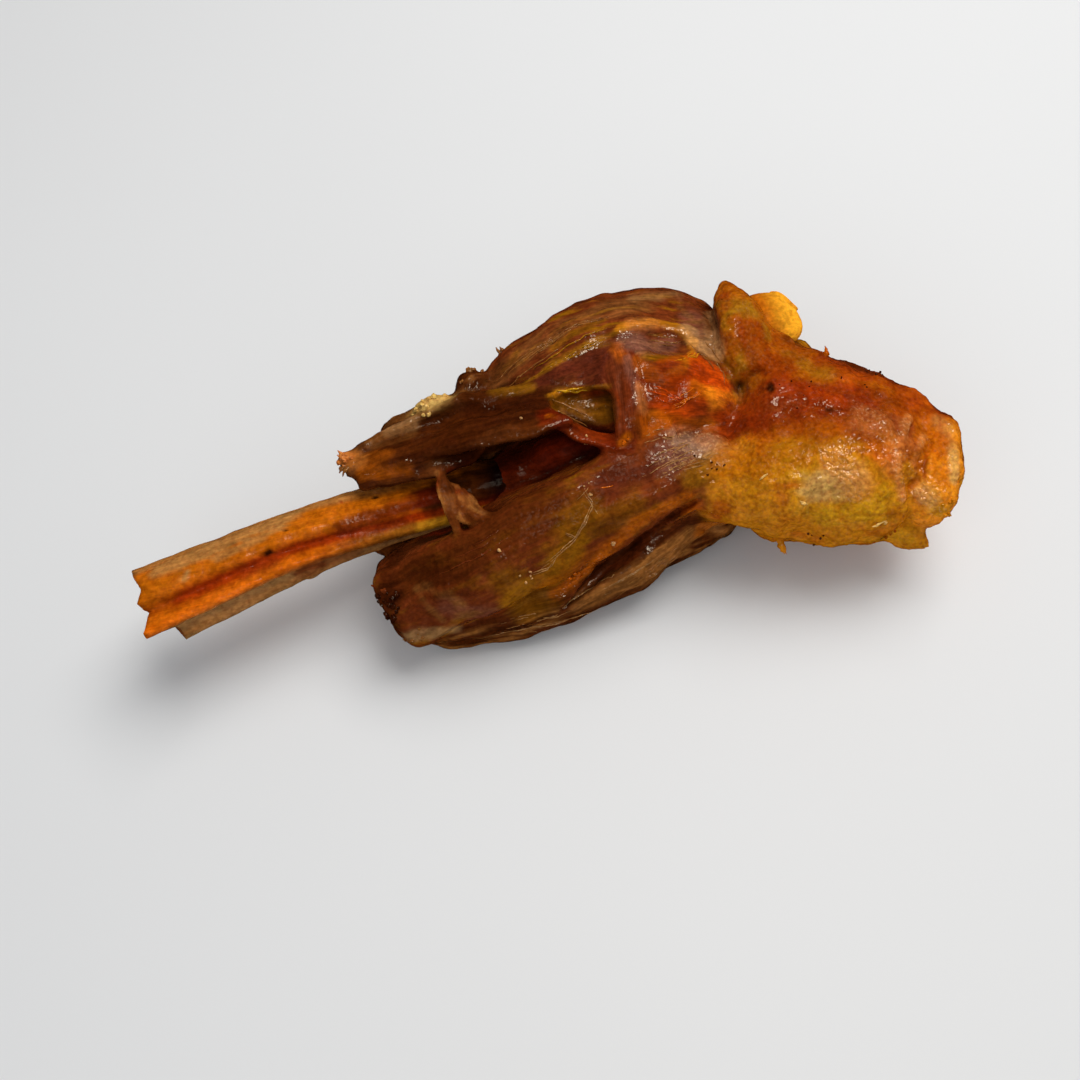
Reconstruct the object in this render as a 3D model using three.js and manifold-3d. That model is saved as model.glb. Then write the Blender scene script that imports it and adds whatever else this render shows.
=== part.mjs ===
// Roast lamb shank: a long grooved shank bone that runs through the roasted meat to its joint end.
//
// Units are millimetres, +Z is up. The sawn bone end points to -X and the knuckle to +X.
// The shank lies on its side, on a flat spot under its belly.
//
// Every muscle, flap, rope of fat and hollow is a "bundle": a closed spindle swept along a bent spine.
// The bundles are joined, or cut away, in the order in which they are listed, and the bone's channel
// is cut through the meat last.

import {
  Box3, BoxGeometry, BufferAttribute, BufferGeometry, CatmullRomCurve3, CylinderGeometry, Group, MathUtils,
  Mesh, MeshStandardMaterial, QuadraticBezierCurve3, Quaternion, SphereGeometry, Vector3,
} from "three";
import { mergeVertices } from "three/addons/utils/BufferGeometryUtils.js";
import Module from "manifold-3d";

const wasm = await Module();
wasm.setup();

// ---------------------------------------------------------------------------------------------
// Driving dimensions
// ---------------------------------------------------------------------------------------------

const SHANK_LENGTH = 250; // sawn bone end to the tip of the knuckle
const MEAT_GAP = 0.3; // air left all round the bone where it runs through the meat
const WELD = 1e-4; // vertices closer than this are one vertex

// The recipe below is worked out for a shank of this length and scaled from it.
const RECIPE_LENGTH = 250;
const SCALE = SHANK_LENGTH / RECIPE_LENGTH;

// How finely a bundle is split: sides round it and stations along it.
const DETAIL = {
  broad: { sides: 24, stations: 13 },
  long: { sides: 16, stations: 12 },
  small: { sides: 10, stations: 8 },
  tiny: { sides: 8, stations: 6 },
};

const CAP_SHARE = 0.12; // part of a bundle's length taken up by each rounded end

// ---------------------------------------------------------------------------------------------
// The meat, from the inside out
// ---------------------------------------------------------------------------------------------
//
// head, tail   ends of the spine
// bow          how far the middle of the spine is pushed off the straight line
// width, thick full size across the spine, level and upright, at the fullest station
// fullest      where along the spine (0 to 1) the bundle is fullest
// ends         share of the full size that is left at the head and at the tail
// tilt         turn of the section about the spine, in degrees
// ridges       shallow lengthwise ridges: count, depth as a share of the radius, twist in turns
// cut          true where the bundle is a hollow

const MEAT = [
  { name: "core", detail: "broad", head: [-2, 22, 18], tail: [84, 20, 24], bow: [0, 2, 0],
    width: 58, thick: 36, fullest: 0.6, ends: [0.3, 0.8] },
  { name: "belly", detail: "broad", head: [-18, 12, 12], tail: [66, 14, 14], bow: [0, 2, -3],
    width: 52, thick: 30, fullest: 0.5, ends: [0.35, 0.7] },
  { name: "calf", detail: "broad", head: [-14, 41, 30], tail: [70, 41, 27], bow: [1, 6, 2],
    width: 57, thick: 46, fullest: 0.66, ends: [0.2, 0.62], tilt: 6, cap: 0.1, ridges: [9, 0.022, 0.3] },
  { name: "calf_front", detail: "long", head: [6, 34, 34], tail: [68, 26, 36], bow: [0, 2, 4],
    width: 26, thick: 26, fullest: 0.6, ends: [0.4, 0.6], ridges: [5, 0.03, 0.2] },
  { name: "shin", detail: "broad", head: [-50, -9, 15], tail: [62, 10, 34], bow: [-2, -2, 4],
    width: 31, thick: 30, fullest: 0.48, ends: [0.78, 0.5], tilt: -24, cap: 0.06, ridges: [7, 0.03, 0.25] },
  { name: "under", detail: "long", head: [-42, -12, 8], tail: [74, 0, 20], bow: [-2, -5, -2],
    width: 22, thick: 20, fullest: 0.5, ends: [0.6, 0.8], ridges: [5, 0.04, 0.4] },
  { name: "cavity", detail: "small", head: [-30, 15, 37], tail: [26, 20, 43], bow: [0, 0, -1],
    width: 13, thick: 15, fullest: 0.5, ends: [0.7, 0.5], cut: true },
  { name: "inner", detail: "small", head: [-12, 19, 28], tail: [30, 22, 35], bow: [0, 0, 2],
    width: 10, thick: 12, fullest: 0.5, ends: [0.5, 0.7] },
  { name: "flap_back", detail: "small", head: [-42, 39, 33], tail: [10, 41, 32], bow: [0, 3, 2],
    width: 14, thick: 14, fullest: 0.5, ends: [0.6, 0.8] },
  { name: "flap", detail: "long", head: [-54, 28, 41], tail: [20, 30, 47], bow: [0, 1, 1],
    width: 21, thick: 7, fullest: 0.72, ends: [0.42, 0.8], tilt: -20, cap: 0.04 },
  { name: "flap_fold", detail: "small", head: [-50, 32, 43], tail: [8, 39, 45], bow: [0, 2, 2],
    width: 6, thick: 5, fullest: 0.6, ends: [0.5, 0.8], cap: 0.05 },
  { name: "flap_low", detail: "small", head: [-47, 25, 40], tail: [10, 27, 43], bow: [0, -4, 0.5],
    width: 9, thick: 5, fullest: 0.5, ends: [0.5, 0.7], cap: 0.08 },
  { name: "fat_lump", detail: "tiny", head: [-28, 42, 38], tail: [-20, 44, 38], bow: [0, 0, 1],
    width: 7, thick: 6, fullest: 0.5, ends: [0.7, 0.7], cap: 0.3 },
  { name: "brown_lump", detail: "tiny", head: [-15, 49, 34], tail: [-3, 53, 34], bow: [0, 2, 2],
    width: 9, thick: 8, fullest: 0.5, ends: [0.6, 0.6], cap: 0.3 },
  { name: "shelf", detail: "small", head: [-52, 9, 21], tail: [-28, 8, 23], bow: [0, 0, 0],
    width: 9, thick: 4, fullest: 0.7, ends: [0.5, 0.9], tilt: -20, cap: 0.15 },
  { name: "pocket", detail: "small", head: [11, 31, 49], tail: [31, 22, 49], bow: [0, 0, -1],
    width: 13, thick: 10, fullest: 0.6, ends: [0.6, 0.8], cap: 0.2, cut: true },
  { name: "lip", detail: "small", head: [8, 28, 47], tail: [33, 15, 45], bow: [0, -3, 0],
    width: 4.5, thick: 5, fullest: 0.5, ends: [0.8, 0.9], cap: 0.1 },
  { name: "strap", detail: "small", head: [34, 43, 51], tail: [32, 15, 45], bow: [0, 0, 2],
    width: 7.5, thick: 6.5, fullest: 0.5, ends: [0.8, 0.8] },
  { name: "membrane", detail: "small", head: [-22, 16, 41], tail: [-19, 2, 31], bow: [0, 0, -1],
    width: 8, thick: 1.8, fullest: 0.3, ends: [0.8, 0.35], cap: 0.1 },
  { name: "joint", detail: "long", head: [56, 46, 24], tail: [92, 26, 24], bow: [0, 2, 0],
    width: 40, thick: 36, fullest: 0.5, ends: [0.7, 0.8], cap: 0.2 },
  { name: "knuckle", detail: "broad", head: [66, 22, 25], tail: [118, -7, 31], bow: [1, 0, 0],
    width: 58, thick: 46, fullest: 0.25, ends: [0.85, 0.46], cap: 0.2, ridges: [5, 0.03, 0.5] },
  { name: "heel", detail: "broad", head: [64, 7, 21], tail: [112, -12, 27], bow: [0, -1, 0],
    width: 36, thick: 34, fullest: 0.55, ends: [0.85, 0.7], cap: 0.25, ridges: [5, 0.03, 0.2] },
  { name: "crest", detail: "small", head: [87, 37, 39], tail: [124, -1, 37], bow: [1, 1, 1],
    width: 10, thick: 10, fullest: 0.4, ends: [0.8, 0.9], cap: 0.1 },
  { name: "crown_high", detail: "small", head: [118, -3, 32], tail: [126, -9, 33], bow: [0, 0, 0],
    width: 16, thick: 16, fullest: 0.5, ends: [0.9, 0.9], cap: 0.4 },
  { name: "crown_low", detail: "small", head: [111, -14, 26], tail: [121, -17, 28], bow: [0, 0, 0],
    width: 16, thick: 16, fullest: 0.5, ends: [0.9, 0.9], cap: 0.4 },
  { name: "hanging_lobe", detail: "tiny", head: [106, -18, 22], tail: [112, -27, 21], bow: [0, 0, -1],
    width: 9, thick: 8, fullest: 0.3, ends: [0.9, 0.5], cap: 0.4 },
  { name: "fat_lobe", detail: "small", head: [69, 60, 41], tail: [75, 26, 46], bow: [0, 2, 4],
    width: 13, thick: 14, fullest: 0.45, ends: [0.45, 0.6], cap: 0.15 },
  { name: "valley", detail: "small", head: [66, 62, 38], tail: [64, 14, 50], bow: [0, 0, 2],
    width: 7, thick: 10, fullest: 0.5, ends: [0.9, 0.5], cap: 0.1, cut: true },
];

// ---------------------------------------------------------------------------------------------
// The bone
// ---------------------------------------------------------------------------------------------

// Stations along the bone: place, size across and size upright. The first lies past the saw cut and
// the last is the round knob of the joint.
const BONE_STATIONS = [
  { at: [-126, -2, 31], width: 25, thick: 19 },
  { at: [-72, 10.4, 31], width: 20, thick: 16 },
  { at: [-40, 16.5, 30], width: 16.5, thick: 15 },
  { at: [-12, 19, 29], width: 16.5, thick: 15 },
  { at: [20, 23, 27], width: 16, thick: 14 },
  { at: [52, 33, 28], width: 16, thick: 14 },
  { at: [76, 46, 34], width: 19, thick: 18 },
  { at: [89, 56, 39], width: 18, thick: 17 },
];
const BONE_SIDES = 30;
const BONE_RINGS = 20;
const KNOB_CAP = 0.09; // part of the bone's length that rounds off the knob
const KNOB_FLAT = 0.15; // share of the knob's radius left where it closes

// Two long ridges with a groove between them, a step and a keel: place round the section in degrees
// (0 away from the front, 90 up), half width in degrees, and height as a share of the radius.
const BONE_RELIEF = [
  { name: "top ridge", angle: 80, spread: 24, height: 0.06 },
  { name: "groove", angle: 122, spread: 15, height: -0.26 },
  { name: "front ridge", angle: 158, spread: 14, height: 0.1 },
  { name: "step", angle: 192, spread: 13, height: -0.22 },
  { name: "keel", angle: 222, spread: 18, height: 0.12 },
];
// The relief is strong at the sawn end and fades away inside the meat: X, and share of the full relief.
const RELIEF_FULL_AT = -126;
const RELIEF_GONE_AT = 0;
const RELIEF_MOST = 1.2;
const RELIEF_LEAST = 0.2;

// Saw cut: a slightly slanting plane through this point, with this outward direction.
const SAW_POINT = [-117, 0, 30];
const SAW_OUTWARD = [-0.924, -0.36, 0.1];

// ---------------------------------------------------------------------------------------------
// Making solids
// ---------------------------------------------------------------------------------------------

/** A copy of a geometry with one vertex at each place. */
function weld(geometry) {
  const bare = geometry.clone();
  bare.deleteAttribute("normal");
  bare.deleteAttribute("uv");
  return mergeVertices(bare, WELD);
}

/** Turn a three.js geometry into a manifold solid. */
function toSolid(geometry) {
  const welded = weld(geometry);
  const mesh = new wasm.Mesh({
    numProp: 3,
    vertProperties: new Float32Array(welded.attributes.position.array),
    triVerts: new Uint32Array(welded.index.array),
  });
  return new wasm.Manifold(mesh);
}

/** Turn a manifold solid back into a flat-shaded three.js geometry. */
function toGeometry(solid) {
  const mesh = solid.getMesh();
  const geometry = new BufferGeometry();
  geometry.setAttribute("position", new BufferAttribute(new Float32Array(mesh.vertProperties), 3));
  geometry.setIndex(new BufferAttribute(new Uint32Array(mesh.triVerts), 1));
  geometry.computeVertexNormals();
  return geometry;
}

/** Axes across a spine: level and upright, both square to the direction of travel. */
function crossAxes(tangent) {
  const level = new Vector3(0, 0, 1).cross(tangent).normalize();
  const upright = tangent.clone().cross(level).normalize();
  return { level, upright };
}

/** Share of the full size at a station of a bundle: swells to its fullest, tapers and rounds off. */
function girth(bundle, along) {
  const [headShare, tailShare] = bundle.ends;
  const cap = bundle.cap ?? CAP_SHARE;
  const rising = along < bundle.fullest;
  const nearness = rising ? along / bundle.fullest : (1 - along) / (1 - bundle.fullest);
  const share = rising ? headShare : tailShare;
  const swell = share + (1 - share) * Math.sin(nearness * Math.PI / 2);
  const intoCap = Math.min(1, Math.min(along, 1 - along) / cap);
  return swell * Math.sqrt(1 - (1 - intoCap) ** 2);
}

/** One bundle as a closed geometry: a sphere whose rings are moved onto the spine. */
function bundleGeometry(bundle) {
  const { sides, stations } = DETAIL[bundle.detail];
  const head = new Vector3(...bundle.head);
  const tail = new Vector3(...bundle.tail);
  const control = head.clone().lerp(tail, 0.5).addScaledVector(new Vector3(...bundle.bow), 2);
  const spine = new QuadraticBezierCurve3(head, control, tail);
  const [ridgeCount, ridgeDepth, ridgeTwist] = bundle.ridges ?? [0, 0, 0];
  const tilt = MathUtils.degToRad(bundle.tilt ?? 0);
  const geometry = new SphereGeometry(1, sides, stations);
  const position = geometry.attributes.position;
  const point = new Vector3();
  for (let i = 0; i < position.count; i += 1) {
    point.fromBufferAttribute(position, i);
    const along = MathUtils.clamp((1 - point.y) / 2, 0, 1);
    const around = Math.atan2(point.z, point.x);
    const ridge = 1 + ridgeDepth * Math.cos(ridgeCount * around + 2 * Math.PI * ridgeTwist * along);
    const size = girth(bundle, along) * ridge;
    const { level, upright } = crossAxes(spine.getTangent(along));
    const across = Math.cos(around) * bundle.width / 2 * size;
    const up = Math.sin(around) * bundle.thick / 2 * size;
    point.copy(spine.getPoint(along));
    point.addScaledVector(level, across * Math.cos(tilt) - up * Math.sin(tilt));
    point.addScaledVector(upright, across * Math.sin(tilt) + up * Math.cos(tilt));
    position.setXYZ(i, point.x, point.y, point.z);
  }
  return geometry;
}

/** Height of the bone's ridges and grooves at an angle, as a factor on the radius. */
function boneRelief(angle, strength) {
  let factor = 1;
  for (const feature of BONE_RELIEF) {
    const apart = MathUtils.euclideanModulo(angle - feature.angle + 180, 360) - 180;
    factor += strength * feature.height * Math.exp(-((apart / feature.spread) ** 2));
  }
  return factor;
}

/** Width and thickness of the bone at a share of its length. */
function boneSize(along) {
  const last = BONE_STATIONS.length - 1;
  const before = Math.min(Math.floor(along * last), last - 1);
  const share = along * last - before;
  const here = BONE_STATIONS[before];
  const next = BONE_STATIONS[before + 1];
  return {
    width: MathUtils.lerp(here.width, next.width, share),
    thick: MathUtils.lerp(here.thick, next.thick, share),
  };
}

/** The whole bone before it is sawn. */
function boneGeometry() {
  const places = BONE_STATIONS.map((station) => new Vector3(...station.at));
  const spine = new CatmullRomCurve3(places, false, "catmullrom");
  const geometry = new CylinderGeometry(1, 1, 1, BONE_SIDES, BONE_RINGS);
  const position = geometry.attributes.position;
  const point = new Vector3();
  for (let i = 0; i < position.count; i += 1) {
    point.fromBufferAttribute(position, i);
    const outward = Math.hypot(point.x, point.z); // 0 in the middle of an end, 1 on the side
    const around = Math.atan2(point.z, point.x);
    const along = Math.sin((0.5 - point.y) * Math.PI / 2); // rings lie closer together towards the knob
    const { width, thick } = boneSize(along);
    const intoCap = Math.min(1, (1 - along) / KNOB_CAP);
    const round = outward * Math.max(KNOB_FLAT, Math.sqrt(1 - (1 - intoCap) ** 2));
    const { level, upright } = crossAxes(spine.getTangent(along));
    point.copy(spine.getPoint(along));
    const fade = MathUtils.smoothstep(point.x, RELIEF_FULL_AT, RELIEF_GONE_AT);
    const relief = boneRelief(MathUtils.radToDeg(around), MathUtils.lerp(RELIEF_MOST, RELIEF_LEAST, fade));
    point.addScaledVector(level, Math.cos(around) * width / 2 * relief * round);
    point.addScaledVector(upright, Math.sin(around) * thick / 2 * relief * round);
    position.setXYZ(i, point.x, point.y, point.z);
  }
  return geometry;
}

/** A closed geometry grown by the same distance all over. */
function grow(geometry, distance) {
  const grown = weld(geometry);
  grown.computeVertexNormals();
  const { position, normal } = grown.attributes;
  for (let i = 0; i < position.count; i += 1) {
    position.setXYZ(
      i,
      position.getX(i) + normal.getX(i) * distance,
      position.getY(i) + normal.getY(i) * distance,
      position.getZ(i) + normal.getZ(i) * distance,
    );
  }
  return grown;
}

/** A block large enough to cut off everything on the outward side of a plane. */
function farSide(point, outward) {
  const size = RECIPE_LENGTH * 2;
  const block = new BoxGeometry(size, size, size);
  block.translate(0, 0, size / 2);
  const direction = new Vector3(...outward).normalize();
  block.applyQuaternion(new Quaternion().setFromUnitVectors(new Vector3(0, 0, 1), direction));
  block.translate(...point);
  return toSolid(block);
}

/** The largest separate body of a solid, without loose scraps. */
function largestBody(solid) {
  const bodies = solid.decompose();
  return bodies.reduce((best, body) => (body.volume() > best.volume() ? body : best));
}

/** All bundles joined and cut in order, flat underneath, with a channel for the bone. */
function meatSolid() {
  let meat = null;
  for (const bundle of MEAT) {
    const solid = toSolid(bundleGeometry(bundle));
    if (meat === null) {
      meat = solid;
    } else {
      meat = bundle.cut ? meat.subtract(solid) : meat.add(solid);
    }
  }
  const channel = toSolid(grow(boneGeometry(), MEAT_GAP / SCALE));
  return largestBody(meat.subtract(farSide([0, 0, 0], [0, 0, -1])).subtract(channel));
}

/** The bone with its slanting sawn end. */
function boneSolid() {
  return toSolid(boneGeometry()).subtract(farSide(SAW_POINT, SAW_OUTWARD));
}

// ---------------------------------------------------------------------------------------------
// The scene graph
// ---------------------------------------------------------------------------------------------

/** A named mesh with its own material. */
function namedMesh(name, solid, color, roughness) {
  const material = new MeshStandardMaterial({ color, roughness, metalness: 0 });
  const mesh = new Mesh(toGeometry(solid), material);
  mesh.name = name;
  return mesh;
}

const shank = new Group();
shank.add(namedMesh("meat", meatSolid(), 0x83431d, 0.4));
shank.add(namedMesh("bone", boneSolid(), 0xc27a2c, 0.45));
shank.scale.setScalar(SCALE);

// The origin is the middle of the box round the shank, on the surface it rests on.
const middle = new Box3().setFromObject(shank).getCenter(new Vector3());
shank.position.set(-middle.x, -middle.y, 0);

const root = new Group();
root.add(shank);

export default root;
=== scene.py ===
"""The looks of a roast lamb shank: split, glazed muscles, a fatty knuckle and a bare grooved bone.

The flesh is sculpted from the same swept bundles as the part's solid. They are melted together as one
distance field, skinned, given the relief of muscle fibre and painted by named finishes. The recipe is in
the shank's own millimetres, and ShankFrame turns it into the metres of the row's frame.
"""

import logging
import math
from dataclasses import dataclass, field
from enum import Enum

import bpy
import numpy as np
from mathutils import Matrix, Vector
from mathutils.bvhtree import BVHTree


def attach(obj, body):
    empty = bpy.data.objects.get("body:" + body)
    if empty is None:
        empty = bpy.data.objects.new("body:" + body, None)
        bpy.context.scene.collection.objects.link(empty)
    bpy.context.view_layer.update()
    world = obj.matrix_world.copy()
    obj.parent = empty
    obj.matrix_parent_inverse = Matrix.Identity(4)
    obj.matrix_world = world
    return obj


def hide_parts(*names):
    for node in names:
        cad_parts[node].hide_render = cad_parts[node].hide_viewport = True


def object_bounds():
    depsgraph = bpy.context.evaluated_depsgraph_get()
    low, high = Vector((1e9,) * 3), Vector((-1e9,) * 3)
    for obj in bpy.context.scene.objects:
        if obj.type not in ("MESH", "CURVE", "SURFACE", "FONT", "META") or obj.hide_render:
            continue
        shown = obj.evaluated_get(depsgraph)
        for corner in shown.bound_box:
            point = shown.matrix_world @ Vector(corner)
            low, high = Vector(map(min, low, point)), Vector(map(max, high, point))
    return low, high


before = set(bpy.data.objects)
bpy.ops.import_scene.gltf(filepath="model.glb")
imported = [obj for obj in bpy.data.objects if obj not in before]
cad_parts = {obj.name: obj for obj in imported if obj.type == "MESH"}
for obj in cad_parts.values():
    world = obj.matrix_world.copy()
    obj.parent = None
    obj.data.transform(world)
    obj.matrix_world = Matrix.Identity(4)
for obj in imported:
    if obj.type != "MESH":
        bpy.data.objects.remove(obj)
CAD_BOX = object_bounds()

LOG = logging.getLogger("shank")
MM = 0.001
BODY = "root"
UPWARDS = np.array([0.0, 0.0, 1.0])

# In mm: what stands for out of reach, and the least half thickness of a bundle.
FAR = 30.0
THINNEST = 0.05
# How often a point's station on a spine is improved.
SPINE_STEPS = 4

Triple = tuple[float, float, float]
Pair = tuple[float, float]


# --- Helpers on arrays of points ---


def smooth_step(low: float, high: float, value: np.ndarray) -> np.ndarray:
    """Ease values from 0 at low to 1 at high, which may be below low."""
    share = np.clip((value - low) / (high - low), 0.0, 1.0)
    return share * share * (3.0 - 2.0 * share)


def melt(first: np.ndarray, second: np.ndarray, reach: float) -> np.ndarray:
    """Distances to two shapes joined by a seam that is rounded over a reach, in mm."""
    near = np.maximum(reach - np.abs(first - second), 0.0) / reach
    return np.minimum(first, second) - near * near * reach * 0.25


def unit(vectors: np.ndarray) -> np.ndarray:
    """Rows of vectors scaled to length one."""
    return vectors / np.maximum(np.linalg.norm(vectors, axis=-1, keepdims=True), 1e-9)


def blend(under: np.ndarray, over: np.ndarray, share: np.ndarray) -> np.ndarray:
    """Rows of colours mixed by one share for each row."""
    return under + (over - under) * share[:, None]


def to_segment(points: np.ndarray, start: Triple, end: Triple) -> np.ndarray:
    """Distance from each point to a straight line between two places, in mm."""
    head = np.array(start, float)
    run = np.array(end, float) - head
    share = np.clip((points - head) @ run / max(run @ run, 1e-9), 0.0, 1.0)
    return np.linalg.norm(points - head - share[:, None] * run, axis=1)


class LatticeNoise:
    """Smooth seeded noise on a repeating lattice."""

    def __init__(self, seed: int, size: int = 32) -> None:
        """Draw a lattice that repeats after size cells along each side."""
        self.size = size
        self.values = np.random.default_rng(seed).uniform(-1.0, 1.0, (size, size, size))

    def at(self, points: np.ndarray) -> np.ndarray:
        """Noise from -1 to 1 at points given in lattice cells.

        Args:
            points: Rows of three coordinates.

        Returns:
            One value for each point.
        """
        cell = np.floor(points).astype(np.int64)
        part = points - cell
        ease = part * part * (3.0 - 2.0 * part)
        index = (cell % self.size, (cell + 1) % self.size)
        weight = (1.0 - ease, ease)
        total = np.zeros(len(points))
        for i, j, k in np.ndindex(2, 2, 2):
            share = weight[i][:, 0] * weight[j][:, 1] * weight[k][:, 2]
            total += share * self.values[index[i][:, 0], index[j][:, 1], index[k][:, 2]]
        return total

    def layered(self, points: np.ndarray, layers: int = 3, gain: float = 0.5) -> np.ndarray:
        """Sum of noise at doubling scales.

        Args:
            points: Rows of three coordinates.
            layers: How many scales are added.
            gain: Strength of each scale as a share of the one before.

        Returns:
            One value for each point, about -1 to 1.
        """
        total = np.zeros(len(points))
        strength, whole = 1.0, 0.0
        for layer in range(layers):
            total += strength * self.at(points * 2.0**layer + 7.3 * layer)
            whole += strength
            strength *= gain
        return total / whole


# --- Palette and finishes ---


class Tint(Enum):
    """Named colours of roast lamb, linear RGB."""

    MAROON = (0.15, 0.027, 0.005)
    PLUM = (0.09, 0.015, 0.006)
    MAUVE = (0.21, 0.075, 0.045)
    OLIVE = (0.215, 0.075, 0.002)
    DEEP_OLIVE = (0.11, 0.038, 0.002)
    OLIVE_GOLD = (0.33, 0.125, 0.004)
    HONEY = (0.62, 0.21, 0.005)
    AMBER = (0.4, 0.085, 0.001)
    ORANGE = (0.56, 0.11, 0.002)
    BRIGHT_ORANGE = (0.85, 0.26, 0.008)
    BRICK = (0.25, 0.024, 0.001)
    DEEP_BRICK = (0.12, 0.009, 0.001)
    RED_GLAZE = (0.52, 0.05, 0.001)
    OLIVE_FAT = (0.54, 0.25, 0.006)
    YELLOW_FAT = (0.68, 0.31, 0.012)
    CREAM = (0.8, 0.48, 0.13)
    CARTILAGE = (0.64, 0.4, 0.15)
    PINK_SKIN = (0.64, 0.2, 0.04)
    UMBER = (0.075, 0.015, 0.002)
    DARK_UMBER = (0.036, 0.006, 0.001)
    SOOT = (0.016, 0.004, 0.001)
    TAN = (0.26, 0.095, 0.02)
    BONE_AMBER = (0.48, 0.11, 0.002)
    BONE_ORANGE = (0.62, 0.12, 0.002)
    BONE_YELLOW = (0.56, 0.25, 0.012)
    BONE_TAN = (0.4, 0.19, 0.05)
    BONE_GREY = (0.34, 0.155, 0.048)
    GROOVE_RED = (0.3, 0.026, 0.001)
    KNOB = (0.95, 0.4, 0.02)
    SINEW = (0.36, 0.165, 0.05)
    # pale silver-skin, also used as a painted highlight
    SHEEN_AND_PALE_SINEW = (0.62, 0.4, 0.24)
    CRUMB = (0.64, 0.33, 0.12)
    # pale blister tips: crisp fat, partly painted glints
    CRISP_AND_GLINT = (0.8, 0.42, 0.17)

    def colour(self) -> tuple[float, float, float, float]:
        """The colour with its alpha."""
        return (*self.value, 1.0)


@dataclass(frozen=True)
class Finish:
    """How the skin of a bundle looks and feels.

    Attributes:
        base: Main colour.
        streak: Colour of the long streaks along the fibre.
        share: How much of the skin the streaks cover, 0 to 1.
        fibre: Height of the relief along the fibre, mm.
        lumps: Height of blisters and folds, mm.
        fatty: 0 for bare muscle fibre, 1 for glazed fat and gristle.
    """

    base: Tint
    streak: Tint
    share: float
    fibre: float
    lumps: float
    fatty: float


class Skin(Enum):
    """The finishes of the flesh."""

    CALF = Finish(Tint.MAROON, Tint.OLIVE, 0.32, 0.4, 0.15, 0.15)
    SHIN = Finish(Tint.MAROON, Tint.OLIVE, 0.3, 0.14, 0.25, 0.55)
    UNDER = Finish(Tint.UMBER, Tint.TAN, 0.5, 0.6, 0.2, 0.1)
    FLAP = Finish(Tint.UMBER, Tint.DARK_UMBER, 0.55, 0.15, 0.35, 0.35)
    EDGE = Finish(Tint.UMBER, Tint.TAN, 0.4, 0.25, 0.5, 0.4)
    CLEFT = Finish(Tint.MAROON, Tint.UMBER, 0.5, 0.4, 0.3, 0.1)
    DEEP = Finish(Tint.DEEP_BRICK, Tint.DARK_UMBER, 0.3, 0.25, 0.2, 0.3)
    # dark umber that paints the shade in the cavity and in the hollows round and under the bone
    DARK = Finish(Tint.DARK_UMBER, Tint.DEEP_BRICK, 0.4, 0.3, 0.25, 0.2)
    STRAP = Finish(Tint.DEEP_BRICK, Tint.MAUVE, 0.3, 0.3, 0.15, 0.2)
    LIP = Finish(Tint.BRICK, Tint.AMBER, 0.35, 0.25, 0.2, 0.4)
    CRUMBLY_BROWN = Finish(Tint.UMBER, Tint.TAN, 0.5, 0.3, 1.1, 0.6)
    CRUMBLY_FAT = Finish(Tint.CREAM, Tint.OLIVE_GOLD, 0.5, 0.1, 1.1, 1.0)
    WEB = Finish(Tint.UMBER, Tint.TAN, 0.45, 0.3, 0.1, 0.4)
    JOINT = Finish(Tint.OLIVE_GOLD, Tint.AMBER, 0.4, 0.15, 0.5, 0.7)
    KNUCKLE = Finish(Tint.AMBER, Tint.ORANGE, 0.4, 0.12, 0.75, 0.9)
    HEEL = Finish(Tint.HONEY, Tint.AMBER, 0.35, 0.1, 0.75, 1.0)
    CREST = Finish(Tint.BRICK, Tint.ORANGE, 0.4, 0.15, 0.8, 0.7)
    CROWN = Finish(Tint.BRIGHT_ORANGE, Tint.YELLOW_FAT, 0.4, 0.1, 0.6, 1.0)
    LOBE = Finish(Tint.HONEY, Tint.YELLOW_FAT, 0.35, 0.1, 0.6, 1.0)
    FAT_LOBE = Finish(Tint.AMBER, Tint.OLIVE_GOLD, 0.55, 0.12, 0.4, 1.0)


# --- The swept bundles that the flesh is sculpted from ---


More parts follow.
